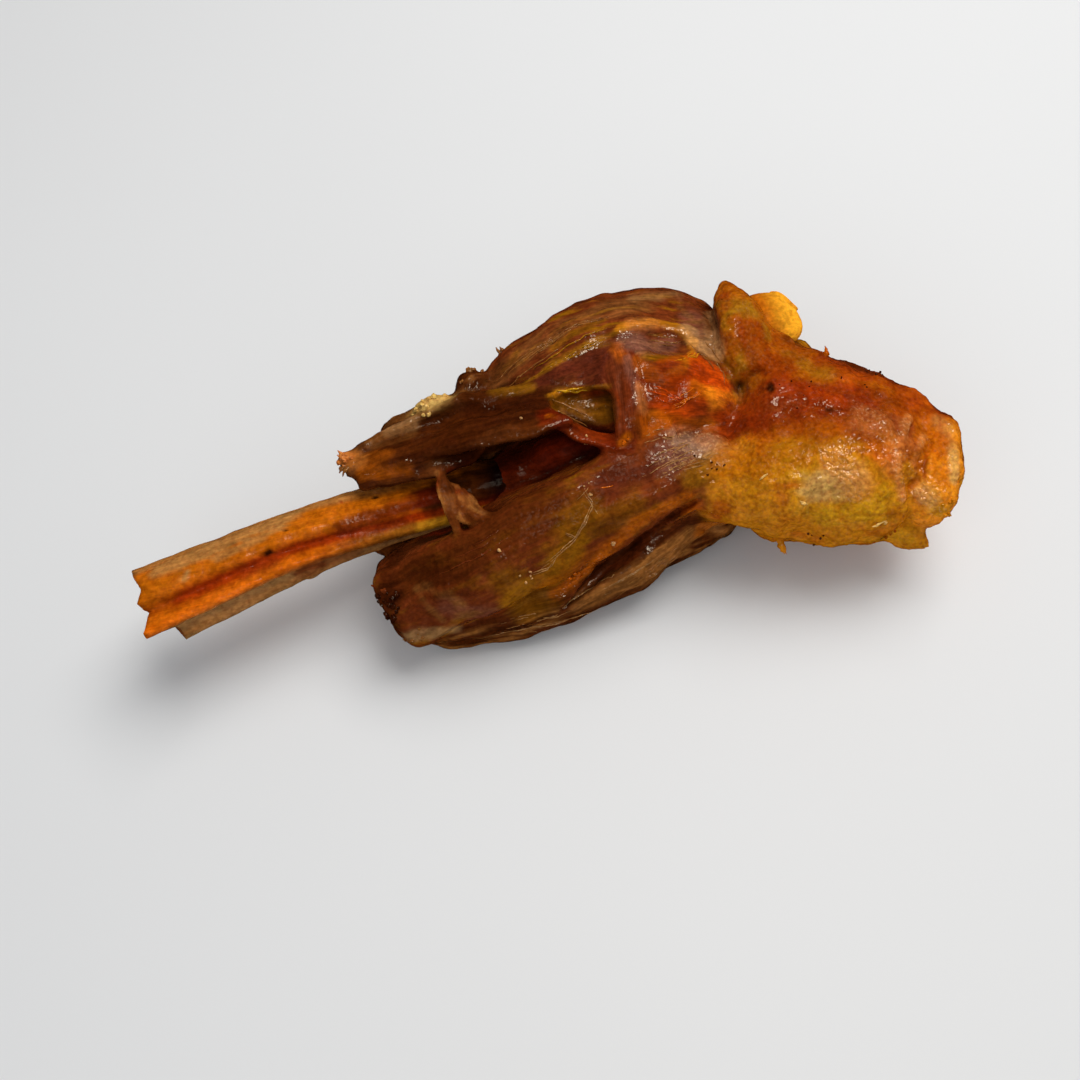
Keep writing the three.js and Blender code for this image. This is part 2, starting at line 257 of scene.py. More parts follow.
@dataclass(frozen=True)
class Bundle:
    """A muscle, flap, rope of fat or hollow: a closed spindle swept along a bent spine, in mm.

    Its sizes are those of the part's source. It also says how far it melts into what is already
    there, its finish, and whether it keeps steady where the flesh around it is warped.
    """

    name: str
    head: Triple
    tail: Triple
    bow: Triple
    width: float
    thick: float
    fullest: float
    ends: Pair
    skin: Skin
    melt: float = 2.0
    tilt: float = 0.0
    cap: float = 0.12
    ridges: Triple = (0.0, 0.0, 0.0)
    cut: bool = False
    steady: bool = False

    def curve(self) -> tuple[np.ndarray, np.ndarray, np.ndarray]:
        """Start of the spine, and the factors of t and of t squared along it."""
        head, tail = np.array(self.head, float), np.array(self.tail, float)
        control = (head + tail) / 2 + 2 * np.array(self.bow, float)
        return head, 2 * (control - head), head - 2 * control + tail

    def reach(self, margin: float) -> tuple[np.ndarray, np.ndarray]:
        """Corners of a box that holds the bundle with a margin all round."""
        head, first, second = self.curve()
        t = np.linspace(0.0, 1.0, 15)[:, None]
        spine = head + first * t + second * t * t
        out = max(self.width, self.thick) / 2 + margin
        return spine.min(0) - out, spine.max(0) + out

    def girth(self, t: np.ndarray) -> np.ndarray:
        """Share of the full size at stations along the spine."""
        rising = t < self.fullest
        nearness = np.where(rising, t / self.fullest, (1 - t) / (1 - self.fullest))
        share = np.where(rising, self.ends[0], self.ends[1])
        swell = share + (1 - share) * np.sin(np.clip(nearness, 0, 1) * math.pi / 2)
        into_cap = np.clip(np.minimum(t, 1 - t) / self.cap, 0, 1)
        return swell * np.sqrt(np.clip(1 - (1 - into_cap) ** 2, 0, 1))

    def local(self, points: np.ndarray) -> tuple[np.ndarray, np.ndarray]:
        """Where points lie in the bundle's own straightened frame.

        Args:
            points: Rows of x, y, z in mm.

        Returns:
            Station along the spine from 0 to 1, and rows of places along, across, up and past the end.
        """
        head, first, second = self.curve()
        chord = first + second
        t = np.clip((points - head) @ chord / (chord @ chord), 0, 1)
        for _ in range(SPINE_STEPS):
            offset = head + first * t[:, None] + second * (t * t)[:, None] - points
            slope = first + 2 * second * t[:, None]
            steep = (slope * slope).sum(1)
            bend = steep + offset @ (2 * second)
            bend = np.where(bend < 0.3 * steep, steep, bend)
            t = np.clip(t - (offset * slope).sum(1) / bend, 0, 1)
        offset = points - (head + first * t[:, None] + second * (t * t)[:, None])
        along = unit(first + 2 * second * t[:, None])
        level = unit(np.cross(UPWARDS, along))
        upright = np.cross(along, level)
        side = (offset * level).sum(1)
        rise = (offset * upright).sum(1)
        turn = math.radians(self.tilt)
        across = side * math.cos(turn) + rise * math.sin(turn)
        up = rise * math.cos(turn) - side * math.sin(turn)
        length = float(np.linalg.norm(chord))
        return t, np.stack([t * length, across, up, (offset * along).sum(1)], axis=1)

    def measure(self, points: np.ndarray) -> tuple[np.ndarray, np.ndarray]:
        """Distance of points from the bundle's skin.

        Args:
            points: Rows of x, y, z in mm.

        Returns:
            Approximate distances, negative inside, and the rows that local gives.
        """
        t, place = self.local(points)
        girth = self.girth(t)
        half_width = np.maximum(self.width / 2 * girth, THINNEST)
        half_thick = np.maximum(self.thick / 2 * girth, THINNEST)
        across, up = place[:, 1], place[:, 2]
        count, depth, twist = self.ridges
        if count:
            around = np.arctan2(up / self.thick, across / self.width)
            ridge = 1 + depth * np.cos(count * around + 2 * math.pi * twist * t)
            half_width = half_width * ridge
            half_thick = half_thick * ridge
        scaled = np.sqrt((across / half_width) ** 2 + (up / half_thick) ** 2)
        slope = np.sqrt((across / half_width**2) ** 2 + (up / half_thick**2) ** 2)
        narrow = np.minimum(half_width, half_thick)
        skin = np.where(slope > 1e-6, scaled * (scaled - 1) / np.maximum(slope, 1e-6), -narrow)
        skin = np.where(scaled < 0.3, np.maximum(skin, (scaled - 1) * narrow), skin)
        return skin + np.abs(place[:, 3]), place


# The main forms, as in the part's source, from the inside out; then finer ones that are only for show.
BUNDLES = (
    Bundle("core", (-2, 22, 18), (84, 20, 24), (0, 2, 0), 58, 36, 0.6, (0.3, 0.8), Skin.UNDER, 4),
    Bundle("belly", (-18, 12, 12), (66, 14, 14), (0, 2, -3), 52, 30, 0.5, (0.35, 0.7), Skin.UNDER, 4),
    Bundle("calf", (-14, 41, 30), (70, 40, 27), (0, 6.5, 2), 57, 46, 0.62, (0.22, 0.6),
           Skin.CALF, 6, tilt=6, cap=0.1, ridges=(9, 0.022, 0.3)),
    Bundle("calf_front", (6, 34, 34), (68, 26, 36), (0, 2, 4), 26, 26, 0.6, (0.4, 0.6),
           Skin.CALF, 8, ridges=(5, 0.03, 0.2)),
    Bundle("shin", (-50.5, -8.5, 15), (62, 10, 34), (-2, -2, 4), 32, 30, 0.46, (0.85, 0.6),
           Skin.SHIN, 4, tilt=-24, cap=0.05, ridges=(7, 0.03, 0.25)),
    Bundle("under", (-43, -12, 8.5), (59, 5, 22), (0, -7.5, -2), 24, 20, 0.48, (0.6, 0.3),
           Skin.UNDER, 4, ridges=(5, 0.04, 0.4)),
    # dark bundle under the bone, its dark umber painted shade
    Bundle("shin_root", (-44, 2, 15), (2, 9, 20), (0, 0, 1), 18, 18, 0.5, (0.7, 0.9),
           Skin.DARK, 5, cap=0.15),
    Bundle("root", (-26, 30, 19), (16, 32, 20), (0, 0, 0), 26, 27, 0.6, (0.4, 0.9), Skin.UNDER, 5, cap=0.2),
    Bundle("collar", (50, 4, 32), (80, -6, 32), (0, 0, 0), 26, 24, 0.5, (0.6, 0.8), Skin.HEEL, 7),
    # cut hollow lined with dark umber as painted shade
    Bundle("cavity", (-30, 15, 37), (26, 20, 43), (0, 0, -1), 13, 15, 0.5, (0.7, 0.5),
           Skin.DARK, 3, cut=True),
    # flesh round the bone in the cavity, dark umber as painted shade
    Bundle("sheath", (-14, 18.6, 28.5), (34, 27, 27), (0, -1.5, 0), 19, 17, 0.5, (0.9, 0.9),
           Skin.DARK, 2, cap=0.2),
    Bundle("inner", (-8, 19, 29), (30, 22, 35), (0, 0, 2), 11, 12, 0.6, (0.35, 0.7), Skin.DEEP, 3),
    Bundle("flap_back", (-43, 36.5, 36), (10, 42, 33), (0, 2, 2), 13, 13, 0.5, (0.7, 0.9), Skin.EDGE, 3),
    Bundle("flap", (-54, 28, 41), (20, 30, 47), (0, 1, 1), 22, 7, 0.72, (0.42, 0.8),
           Skin.FLAP, 3, tilt=-20, cap=0.04),
    Bundle("flap_fold", (-50, 32, 43), (8, 39, 45), (0, 2, 2), 5, 4.5, 0.6, (0.5, 0.8),
           Skin.FLAP, 3, cap=0.05),
    Bundle("flap_low", (-50.5, 23.6, 40.6), (-10, 25.5, 42), (0, -2, 0.5), 11.5, 5, 0.3, (0.75, 0.5),
           Skin.FLAP, 4, cap=0.06),
    Bundle("flap_tip", (-55.5, 30, 43.5), (-48, 28.5, 42), (0, 0, -0.5), 6, 5, 0.4, (0.6, 0.8),
           Skin.EDGE, 3, cap=0.2),
    Bundle("flap_crease", (-46, 31.5, 45.8), (5, 31, 49.6), (0, 1.5, 0), 5, 5, 0.5, (0.3, 0.3),
           Skin.FLAP, 2.5, cut=True),
    Bundle("notch", (-16, 17, 43), (3, 18, 44.5), (0, 3, 0), 9, 10, 0.5, (0.4, 0.4),
           Skin.FLAP, 1.5, cut=True),
    Bundle("fat_lump", (-31, 40, 41.5), (-17, 42.5, 42), (0, 0, 1), 9, 8, 0.5, (0.7, 0.7),
           Skin.CRUMBLY_FAT, 1.5, cap=0.3),
    Bundle("brown_lump", (-15, 45.3, 37.5), (-4, 50.5, 37.5), (0, 2, 2), 9, 9, 0.5, (0.6, 0.6),
           Skin.CRUMBLY_BROWN, 3, cap=0.3),
    Bundle("shelf", (-52, 9, 21), (-28, 8, 23), (0, 0, 0), 9, 4, 0.7, (0.5, 0.9),
           Skin.FLAP, 2, tilt=-20, cap=0.15),
    Bundle("pocket", (11, 31, 49), (31, 22, 49), (0, 0, -1), 13, 10, 0.6, (0.6, 0.8),
           Skin.LIP, 2.5, cap=0.2, cut=True),
    Bundle("lip", (8, 27, 46.5), (34, 15, 44), (0, -3, 0), 7.5, 3.2, 0.6, (0.7, 0.9),
           Skin.LIP, 3, tilt=-28, cap=0.08),
    Bundle("shin_edge", (14, 6, 41), (46, 17, 43), (0, 1, 0.5), 8, 6, 0.6, (0.4, 0.8), Skin.SHIN, 4),
    Bundle("strap", (34, 44, 50), (32.5, 14.5, 44.5), (0, 0, 2.4), 10.5, 6.5, 0.5, (0.85, 0.9),
           Skin.STRAP, 2),
    Bundle("joint", (56, 46, 24), (92, 26, 24), (0, 2, 0), 40, 36, 0.5, (0.7, 0.8), Skin.JOINT, 6, cap=0.2),
    Bundle("knuckle", (66, 21.5, 25), (118, -7, 31), (1, 0, 0), 55, 45, 0.25, (0.85, 0.46),
           Skin.KNUCKLE, 9, cap=0.2, ridges=(5, 0.03, 0.5)),
    Bundle("heel", (64, 7, 21), (112, -12, 27), (0, -1, 0), 35, 33, 0.55, (0.8, 0.7),
           Skin.HEEL, 8, cap=0.25, ridges=(5, 0.03, 0.2)),
    Bundle("crest", (88, 33.5, 38), (124, -2, 36), (1, 1, 1), 8, 8, 0.4, (0.8, 0.9),
           Skin.CREST, 5, cap=0.1),
    Bundle("crown_high", (112, -3, 32), (127, -7, 33), (0, 0, 0), 19, 18, 0.5, (0.9, 0.9),
           Skin.CROWN, 9, cap=0.35),
    Bundle("crown_low", (108, -13, 28), (121.5, -16, 29), (0, 0, 0), 17, 17, 0.5, (0.9, 0.9),
           Skin.CROWN, 9, cap=0.35),
    Bundle("hanging_lobe", (104, -17, 23), (112.5, -27.5, 20.5), (0, 0, -1), 10, 9, 0.3, (0.9, 0.3),
           Skin.LOBE, 4, cap=0.4),
    Bundle("saddle", (76, 46, 37), (88, 24, 39), (0, 0, 2), 17, 16, 0.5, (0.6, 0.8),
           Skin.FAT_LOBE, 6, cap=0.2),
    Bundle("fat_lobe", (72.4, 65, 43), (74, 28, 44), (0, 0, 3), 16, 13, 0.5, (0.15, 0.6),
           Skin.FAT_LOBE, 5, cap=0.06),
    Bundle("valley", (65.5, 58, 45.5), (64, 24, 54.5), (0, 0, 1), 1.4, 5, 0.4, (0.9, 0.4),
           Skin.CALF, 2.5, cap=0.1, cut=True),
    Bundle("dimple", (39, 45, 56), (58.5, 41.5, 50.6), (0, 0, -0.5), 11, 7.5, 0.7, (0.5, 0.7),
           Skin.CALF, 2.5, cap=0.3, cut=True),
    Bundle("crevice", (48, -4.5, 38), (2, -22, 17), (0, 0, -1), 13, 6, 0.4, (0.45, 0.3),
           Skin.CLEFT, 1.5, tilt=45, cap=0.2, cut=True),
    # hollows under and round the bone, lined with dark umber as painted shade
    Bundle("gap", (-50, 4.5, 31), (-14, 9, 34), (0, 0, 0), 7.5, 9, 0.6, (0.7, 0.4),
           Skin.DARK, 2.5, cut=True),
    Bundle("bone_way", (-70, 10.7, 30.8), (-13, 18.8, 29), (0, 1.2, 0), 18.5, 17, 0.5, (1, 1),
           Skin.DARK, 1, cap=0.02, cut=True, steady=True),
    # a torn web of membrane from the flap, over the bone to the shin
    Bundle("web", (-27.5, 23, 42.5), (-21.5, 0.5, 37.5), (1.2, 0, 1.8), 4.2, 2.2, 0.5, (0.35, 0.5),
           Skin.WEB, 1.5, cap=0.05),
    Bundle("web_sheet", (-23.5, 16, 40.8), (-16, 3, 38.5), (0, 0, 0.8), 7, 1.9, 0.7, (0.2, 0.6),
           Skin.WEB, 1.5, cap=0.1),
    Bundle("web_fork", (-20, 9, 40), (-9, 3, 39.5), (0, -0.8, 0), 4.5, 2.0, 0.3, (0.7, 0.3),
           Skin.WEB, 1.5, cap=0.1),
)


# --- Strokes: where the roast is stained, glazed, split or swollen ---


@dataclass(frozen=True)
class Stroke:
    """A soft-edged stroke of colour and relief over the skin, in mm.

    Attributes:
        path: The places that it passes through.
        radius: Half its width.
        tint: Its colour.
        strength: How much it covers, 0 to 1.
        lift: How far it raises the skin, below 0 to dent it.
        gloss: How much wetter it makes the skin.
    """

    path: tuple[Triple, ...]
    radius: float
    tint: Tint
    strength: float
    lift: float = 0.0
    gloss: float = 0.0

    def cover(self, points: np.ndarray, waver: np.ndarray) -> np.ndarray:
        """Share of the stroke's colour at each point.

        Args:
            points: Rows of x, y, z in mm.
            waver: Noise from -1 to 1 at the points, which breaks up the edge.

        Returns:
            Shares from 0 to strength.
        """
        share = np.zeros(len(points))
        corners = np.array(self.path)
        reach = self.radius * 2.2
        near = ((points > corners.min(0) - reach) & (points < corners.max(0) + reach)).all(1)
        legs = [to_segment(points[near], start, end) for start, end in zip(self.path, self.path[1:])]
        away = np.min(legs, axis=0) + waver[near] * self.radius * 0.55
        share[near] = smooth_step(self.radius * 1.25, self.radius * 0.45, away)
        return share * self.strength


# Rows of path, radius, tint, strength and, where they have them, lift and gloss.
FLESH_STROKES = tuple(Stroke(*row) for row in (
    # calf: browned back, yellow and olive bands, cross-grained purple, grey dimple with a bright rim; the
    # dimple's grey and the rim's pale upper edge are partly painted sheen
    (((-2, 48, 41), (45, 61, 49)), 6, Tint.TAN, 0.5),
    (((12, 40, 48.5), (33, 37, 50.5)), 5.5, Tint.PLUM, 0.85, 0, -0.3),
    (((20, 42.5, 50), (33, 43, 51.8)), 3.6, Tint.PLUM, 0.75),
    (((16, 49, 49.5), (34, 54.5, 52.5)), 1.4, Tint.OLIVE, 0.7, 0.2),
    (((6, 41, 47.5), (26, 46.5, 51.2)), 1.1, Tint.OLIVE_GOLD, 0.6, 0.2),
    (((26, 46.5, 51.2), (40, 49, 53.5)), 1.3, Tint.OLIVE_GOLD, 0.7, 0.2),
    (((2, 37, 46.5), (30, 31, 50)), 0.9, Tint.OLIVE_GOLD, 0.6, 0.3),
    (((61, 51, 47), (67, 42, 42)), 6, Tint.MAUVE, 0.45),
    # grey-pink in the dimple, partly a painted sheen
    (((38, 44, 53), (50, 43, 51)), 4.5, Tint.MAUVE, 0.85, 0, 0.7),
    (((50, 42.5, 50), (57.5, 41.8, 49.5)), 2.6, Tint.DARK_UMBER, 0.85, 0, -0.8),
    (((36, 49, 52.5), (47.6, 51.1, 49.6), (53.6, 48.7, 48.4), (57.8, 42.6, 47.6)),
     1.7, Tint.HONEY, 0.55, 0.3),
    (((57.8, 42.6, 47.6), (55.7, 36.2, 49.5), (51, 31, 51.5), (44.5, 28.5, 51.3)),
     1.7, Tint.HONEY, 0.5, 0.3),
    # pale pink on the dimple's upper rim, partly a painted sheen
    (((41, 49.8, 51.8), (47, 50.5, 49.8)), 3, Tint.PINK_SKIN, 0.35, 0, 1.6),
    (((57, 47, 48), (60, 40, 47)), 2.8, Tint.CRUMB, 0.45, 0, 0.4),
    (((54, 36, 49.8), (46, 34, 51.5)), 1.5, Tint.AMBER, 0.7, 0.2),
    (((-3, 50, 40), (2, 50, 42)), 5, Tint.UMBER, 0.6),
    (((-4, 39.5, 47), (6, 38, 48)), 2.6, Tint.OLIVE_GOLD, 0.5),
    (((57, 57, 45), (63, 44, 45)), 1.6, Tint.TAN, 0.5, 0, 0.4),
    (((44, 63, 44), (57, 63, 42)), 3.5, Tint.SINEW, 0.6, 0, 0.3),
    # pale crumb colour in the groove before the fat lobe, painted light that offsets the groove's shade
    (((67, 53, 43), (66, 47, 44), (63, 39, 45)), 4, Tint.CRUMB, 0.75, 0, 0.4),
    # red glaze between calf, shin and knuckle
    (((47, 21, 48), (57, 24, 48)), 7.5, Tint.RED_GLAZE, 0.75, 0, -0.25),
    (((41, 27, 51), (49, 24, 50), (54, 25, 49)), 5, Tint.BRICK, 0.6, 0, -0.3),
    (((57, 32, 49), (63, 25, 46)), 5, Tint.RED_GLAZE, 0.85, 0, 0.4),
    (((43, 30, 51), (50, 33, 51)), 4, Tint.BRICK, 0.7, 0, -0.5),
    (((40, 19.5, 47), (47, 17, 46.5)), 2.5, Tint.AMBER, 0.65),
    (((54, 26, 49), (58, 23.5, 48)), 2, Tint.BRIGHT_ORANGE, 0.4, 0.3),
    (((53, 24.5, 48.5), (58, 23.5, 46.5)), 2.6, Tint.ORANGE, 0.6, 0.2),
    (((59, 22, 45), (64, 22, 42)), 4, Tint.BRIGHT_ORANGE, 0.5),
    (((46, 21, 47.5), (50, 23, 48)), 3, Tint.BRICK, 0.45),
    (((36, 18, 48), (38, 14, 46.5), (42, 13, 45.5)), 3.2, Tint.ORANGE, 0.5),
    (((38, 36, 53), (42, 31, 52)), 2.6, Tint.ORANGE, 0.45, 0.2),
    (((42, 31, 52), (43, 28, 51.5)), 2.4, Tint.MAROON, 0.55),
    (((50, 27, 50), (54, 26, 49)), 2.6, Tint.BRICK, 0.5),
    (((35, 15.5, 42.5), (44, 17, 42)), 3, Tint.ORANGE, 0.55),
    (((56, 32, 49.5), (58, 29, 49)), 2, Tint.BRICK, 0.7, -0.3),
    (((60, 18, 42), (64, 14, 40)), 2, Tint.BRICK, 0.6, -0.3),
    # flap and cavity
    (((-40, 33, 46), (-5, 34, 49)), 6, Tint.UMBER, 0.4, 0, -0.8),
    (((-10, 34, 47), (9, 32, 50)), 5, Tint.DARK_UMBER, 0.6, 0, -0.6),
    (((-54, 29, 43), (-49, 28, 43)), 4, Tint.TAN, 0.8, 0.3),
    (((-24, 40.5, 46), (-18, 41.5, 46)), 3.5, Tint.CREAM, 0.45, 0, 0.4),
    (((-38, 34.5, 45.5), (-30, 35.5, 46)), 2.4, Tint.CRUMB, 0.35, 0, 0.5),
    (((-53, 30, 44), (-51, 29.5, 44)), 1.8, Tint.PINK_SKIN, 0.7),
    (((-48, 23, 43), (-34, 21, 44)), 2.4, Tint.AMBER, 0.5),
    (((-36, 34.5, 46.5), (-19, 35.5, 46.5)), 1.2, Tint.TAN, 0.4),
    (((-12, 18, 36), (24, 22, 40)), 9, Tint.DEEP_BRICK, 0.35, 0, -1.2),
    # pocket: dark olive, with painted shade in its hole, pale strings, a yellow upper edge and a brick-red
    # lower rim
    (((14, 30, 46), (27, 25, 45)), 6, Tint.DEEP_OLIVE, 0.9, 0, 0.2),
    # soot-dark dent: painted shade in the pocket's hole
    (((25, 31, 46), (29, 29.5, 47)), 2.2, Tint.SOOT, 0.75, -0.4, -1),
    (((14, 30, 46), (27, 27, 45)), 5, Tint.OLIVE, 0.3, 0, -0.9),
    (((14, 29, 46), (20, 24.6, 44)), 0.8, Tint.TAN, 0.8, 0.3, 0.5),
    (((19, 29, 45), (24, 22.8, 43.8)), 0.7, Tint.TAN, 0.6, 0.2, 0.5),
    (((11.4, 33, 49.4), (17.3, 33.8, 48.5), (24, 33.5, 48)), 0.9, Tint.HONEY, 0.6, 0.3),
    (((-50, 28, 44.5), (-40, 27, 46)), 3.5, Tint.AMBER, 0.35),
    (((-44, 32.5, 45), (-32, 33, 46.5)), 3, Tint.TAN, 0.4),
    (((-27, 22, 42), (-23, 10, 40), (-20, 3, 38)), 5, Tint.MAROON, 0.2, 0, -4),
    (((-27.5, 23, 42.5), (-26, 17, 41)), 3, Tint.DARK_UMBER, 0.6),
    (((9.7, 24.4, 51.7), (16, 20.5, 50), (24.3, 15.7, 47.9), (30, 13, 47)),
     4.2, Tint.DEEP_BRICK, 0.85, 0, -0.3),
    (((9.7, 24.4, 51.7), (16, 21.5, 50), (22, 18, 48.5)), 0.9, Tint.ORANGE, 0.6, 0.2),
    (((27, 8.5, 43), (33, 8, 44.5), (38, 15, 47), (43, 17, 46)), 2.8, Tint.ORANGE, 0.5),
    (((34, 43, 52), (34.6, 39, 52)), 2.6, Tint.ORANGE, 0.5),
    (((33, 36, 52), (32.5, 21, 49.5), (31, 16, 48)), 4.5, Tint.MAROON, 0.6, 0, -0.2),
    (((31, 14.5, 47.5), (29, 12.5, 46.5)), 1.6, Tint.AMBER, 0.8),
    (((36.5, 38, 52.5), (36, 24, 50.5)), 1.5, Tint.MAUVE, 0.6, 0, 0.8),
    (((37.5, 28, 50.5), (37, 21, 49.5)), 2, Tint.PINK_SKIN, 0.4, 0, 0.6),
    (((-8, -4, 41), (14, -4, 43), (32, 1, 44)), 6, Tint.MAROON, 0.3, 0, -1.6),
    # shin: dark shoulder, painted shade from the bone over its upper-left edge, olive heart, purple head with
    # pale fibre and a partly painted highlight, orange torn edge, ragged dark end
    (((-12, 5, 37), (20, 12, 42)), 4.5, Tint.UMBER, 0.6),
    # the shin's own dark brown deepened by painted shade from the bone above
    (((-38, -9, 33), (-25, -9, 38), (-12, -5, 42), (4, -1, 44)), 8, Tint.UMBER, 0.8, 0, -1.2),
    (((12, -4, 43), (30, 0, 44)), 6, Tint.MAROON, 0.45, 0, -0.7),
    (((-12, -17, 34), (-8, -20, 20), (3, -16.5, 28), (6, -12.6, 36), (14, -4.5, 43)),
     6.5, Tint.OLIVE, 0.65, 0, -0.4),
    (((-10, -19, 28), (0, -17, 30), (10, -11, 38)), 5, Tint.OLIVE_GOLD, 0.35, 0, -0.4),
    (((14, -9, 39), (22, -8, 40), (29, -6, 41)), 5, Tint.OLIVE, 0.5, 0, -0.4),
    (((-2, -19, 27), (9, -16, 29), (18, -12, 33)), 3.5, Tint.AMBER, 0.4),
    (((23, 8, 43), (36, 11, 45.5)), 5, Tint.MAROON, 0.1, 0, -7),
    (((24, 4, 45), (42, 9, 45)), 6, Tint.PLUM, 0.75, 0, 0.3),
    (((42, 6, 44.5), (51, 12, 42.5)), 5.5, Tint.MAUVE, 0.6, 0, 0.7),
    # pale sinew and pink skin on the shin's head, partly a painted highlight
    (((47, 13.5, 42.5), (54, 9, 42.6)), 4.5, Tint.SHEEN_AND_PALE_SINEW, 0.3, 0, 2.2),
    (((54, 12, 41.5), (60, 7, 43)), 4, Tint.PINK_SKIN, 0.35, 0, 0.8),
    (((43, -6, 34), (47, -5, 34)), 3, Tint.ORANGE, 0.5),
    (((48, 17.5, 43), (58, 16, 41.5)), 2.8, Tint.ORANGE, 0.6, 0.1),
    (((53, 4, 43), (56, 3, 43)), 2.8, Tint.CREAM, 0.25, 0, 1.5),
    (((45, -4.3, 39.8), (28.4, -8.5, 37.8), (17, -13.4, 30.2), (12.4, -13.1, 24), (1.6, -17, 19.7)),
     2.8, Tint.AMBER, 0.75, 0.2, 0.3),
    (((17, -13.4, 30.2), (12.4, -13.1, 24), (4, -16, 20.5)), 2, Tint.ORANGE, 0.8, 0.3, 0.4),
    (((-42.8, 1, 28), (-46.5, -10, 27), (-46, -17.4, 20.6)), 5, Tint.DARK_UMBER, 0.8, 0, -0.6),
    # partly dark brown flesh, partly painted shade under the bone
    (((-36, -6, 32), (-29, -8, 34)), 5, Tint.DARK_UMBER, 0.7, 0, -0.5),
    (((-43, -21, 20), (-31, -21.5, 18)), 3.2, Tint.CARTILAGE, 0.28, 0.2, 0.8),
    (((-38, -12, 31), (-35.5, -17.5, 28.5), (-33, -20, 24)), 1.6, Tint.TAN, 0.5, 0.3),
    (((-36, -12, 32), (-29, -16.4, 33), (-25.5, -19, 29)), 1.8, Tint.TAN, 0.45, 0.3),
    (((-30, -18.5, 28), (-20, -20.5, 25)), 4.5, Tint.MAUVE, 0.35),
    # partly dark brown flesh, partly painted shade under the bone
    (((-36, -10, 33), (-24, -15, 35)), 4, Tint.DARK_UMBER, 0.5, 0, -0.5),
    (((46, 0, 41), (54, 3, 40)), 4.5, Tint.OLIVE_GOLD, 0.7),
    (((45, -9, 21), (26, -17, 18), (8, -20, 15)), 4, Tint.TAN, 0.7, 0, -0.6),
    # knuckle: brick band above, olive fat and gristle below
    (((58, 2, 38), (72, -12, 34)), 8, Tint.HONEY, 0.7),
    (((60, -9, 25), (76, -18, 24)), 6, Tint.HONEY, 0.5),
    (((49, -8, 22), (56, -8, 24)), 3.5, Tint.AMBER, 0.6),
    (((84, 30, 47), (93, 22, 47)), 3.5, Tint.OLIVE_GOLD, 0.6),
    (((95, 29, 43), (116, 12, 41), (122, 4, 39)), 5, Tint.BRICK, 0.7),
    (((64, 16, 42), (80, 17, 48.5)), 8, Tint.BRICK, 0.9),
    (((80, 17, 48.5), (98, 8, 48)), 7, Tint.BRICK, 0.9),
    (((98, 8, 48), (107, 2, 45)), 4, Tint.BRICK, 0.6),
    (((66, 13, 42), (70, 10, 44)), 4, Tint.DEEP_BRICK, 0.5),
    (((69, 2, 46), (71, 1, 46)), 4, Tint.ORANGE, 0.5),
    (((76, -4, 45), (88, -8, 45)), 8, Tint.OLIVE_FAT, 0.65),
    (((74, 40, 51), (75, 30, 49), (82, 27, 48)), 5, Tint.BRICK, 0.75, 0, -0.8),
    (((94, -11, 45), (97, -13, 44)), 4.6, Tint.OLIVE_GOLD, 0.85, 0, -1.8),
    (((75.3, -5.3, 46.4), (76.9, -10.2, 44.2), (74, -14.5, 40.5)), 3.5, Tint.OLIVE_FAT, 0.5, 0, -0.4),
    (((78.7, -16.2, 37), (84.3, -18.9, 35.6), (90.2, -20, 36.4), (96.7, -19, 38.6)),
     3.5, Tint.OLIVE_FAT, 0.5),
    (((97, -22, 26), (105, -24, 24)), 4, Tint.OLIVE_FAT, 0.5),
    (((87, 15, 48), (93, 10.5, 48.5)), 2.6, Tint.RED_GLAZE, 0.4, 0.3),
    (((74, 14.5, 46.8), (80, 13, 47.6)), 3, Tint.MAROON, 0.4),
    (((97, 6, 48.3), (103, 3, 47.7)), 3, Tint.MAROON, 0.4),
    (((70, 11, 45), (80, 8, 47.5), (90, 3, 48.6), (99, 1, 48)), 5.5, Tint.BRICK, 0.5, 0, -0.5),
    (((97, 22, 45.5), (101, 12, 47), (113, 6, 45)), 4.5, Tint.BRICK, 0.6),
    (((107, 1, 46.8), (109, -6, 45.5)), 3.4, Tint.BRICK, 0.55, 0, -0.7),
    (((57, 2, 43), (66, -2, 46), (77, -3, 47), (86, 2, 48)), 5, Tint.AMBER, 0.5, 0, -0.9),
    (((84, -15, 39), (98, -18, 37)), 7, Tint.OLIVE_FAT, 0.6),
    # pale cartilage, partly a painted highlight on the knuckle
    (((79, -11, 42), (90, -12, 44)), 5, Tint.CARTILAGE, 0.45, 0.2, 0.3),
    (((86, -6.6, 46.5), (92, -14.4, 43)), 4.2, Tint.PINK_SKIN, 0.5, 0.3, 1),
    (((88, -5, 46.5), (93, -13, 44)), 6, Tint.HONEY, 0.3, 0, 1.6),
    (((70, 12, 46), (84, 10, 48.5)), 4, Tint.BRICK, 0.3, 0, 0.7),
    # ribs of pink skin with grooves between, and the bright end
    (((98, 4, 48.4), (106, -2, 46.6), (103, -9, 45)), 5.5, Tint.PINK_SKIN, 0.3, 0.1, 1.6),
    (((111, 3, 45.2), (105, -5, 45), (103.5, -11, 44), (104, -18, 37.4)),
     1.5, Tint.PINK_SKIN, 0.8, 0.8, 0.6),
    (((114, -3, 43.5), (108.5, -9.5, 42), (108, -15, 39.5), (109, -20, 35.7)),
     1.3, Tint.PINK_SKIN, 0.8, 0.9, 0.6),
    (((111.5, 0.5, 44.5), (107, -6, 44), (105.7, -12, 42), (106.5, -18.5, 37)),
     0.8, Tint.BRICK, 0.7, -0.8, -0.5),
    (((115.5, -5, 43), (111.5, -12, 40.5), (112, -19, 36)), 0.8, Tint.BRICK, 0.7, -0.9, -0.5),
    (((110, -19, 31), (112, -23, 28)), 3, Tint.PINK_SKIN, 0.6, 0.3),
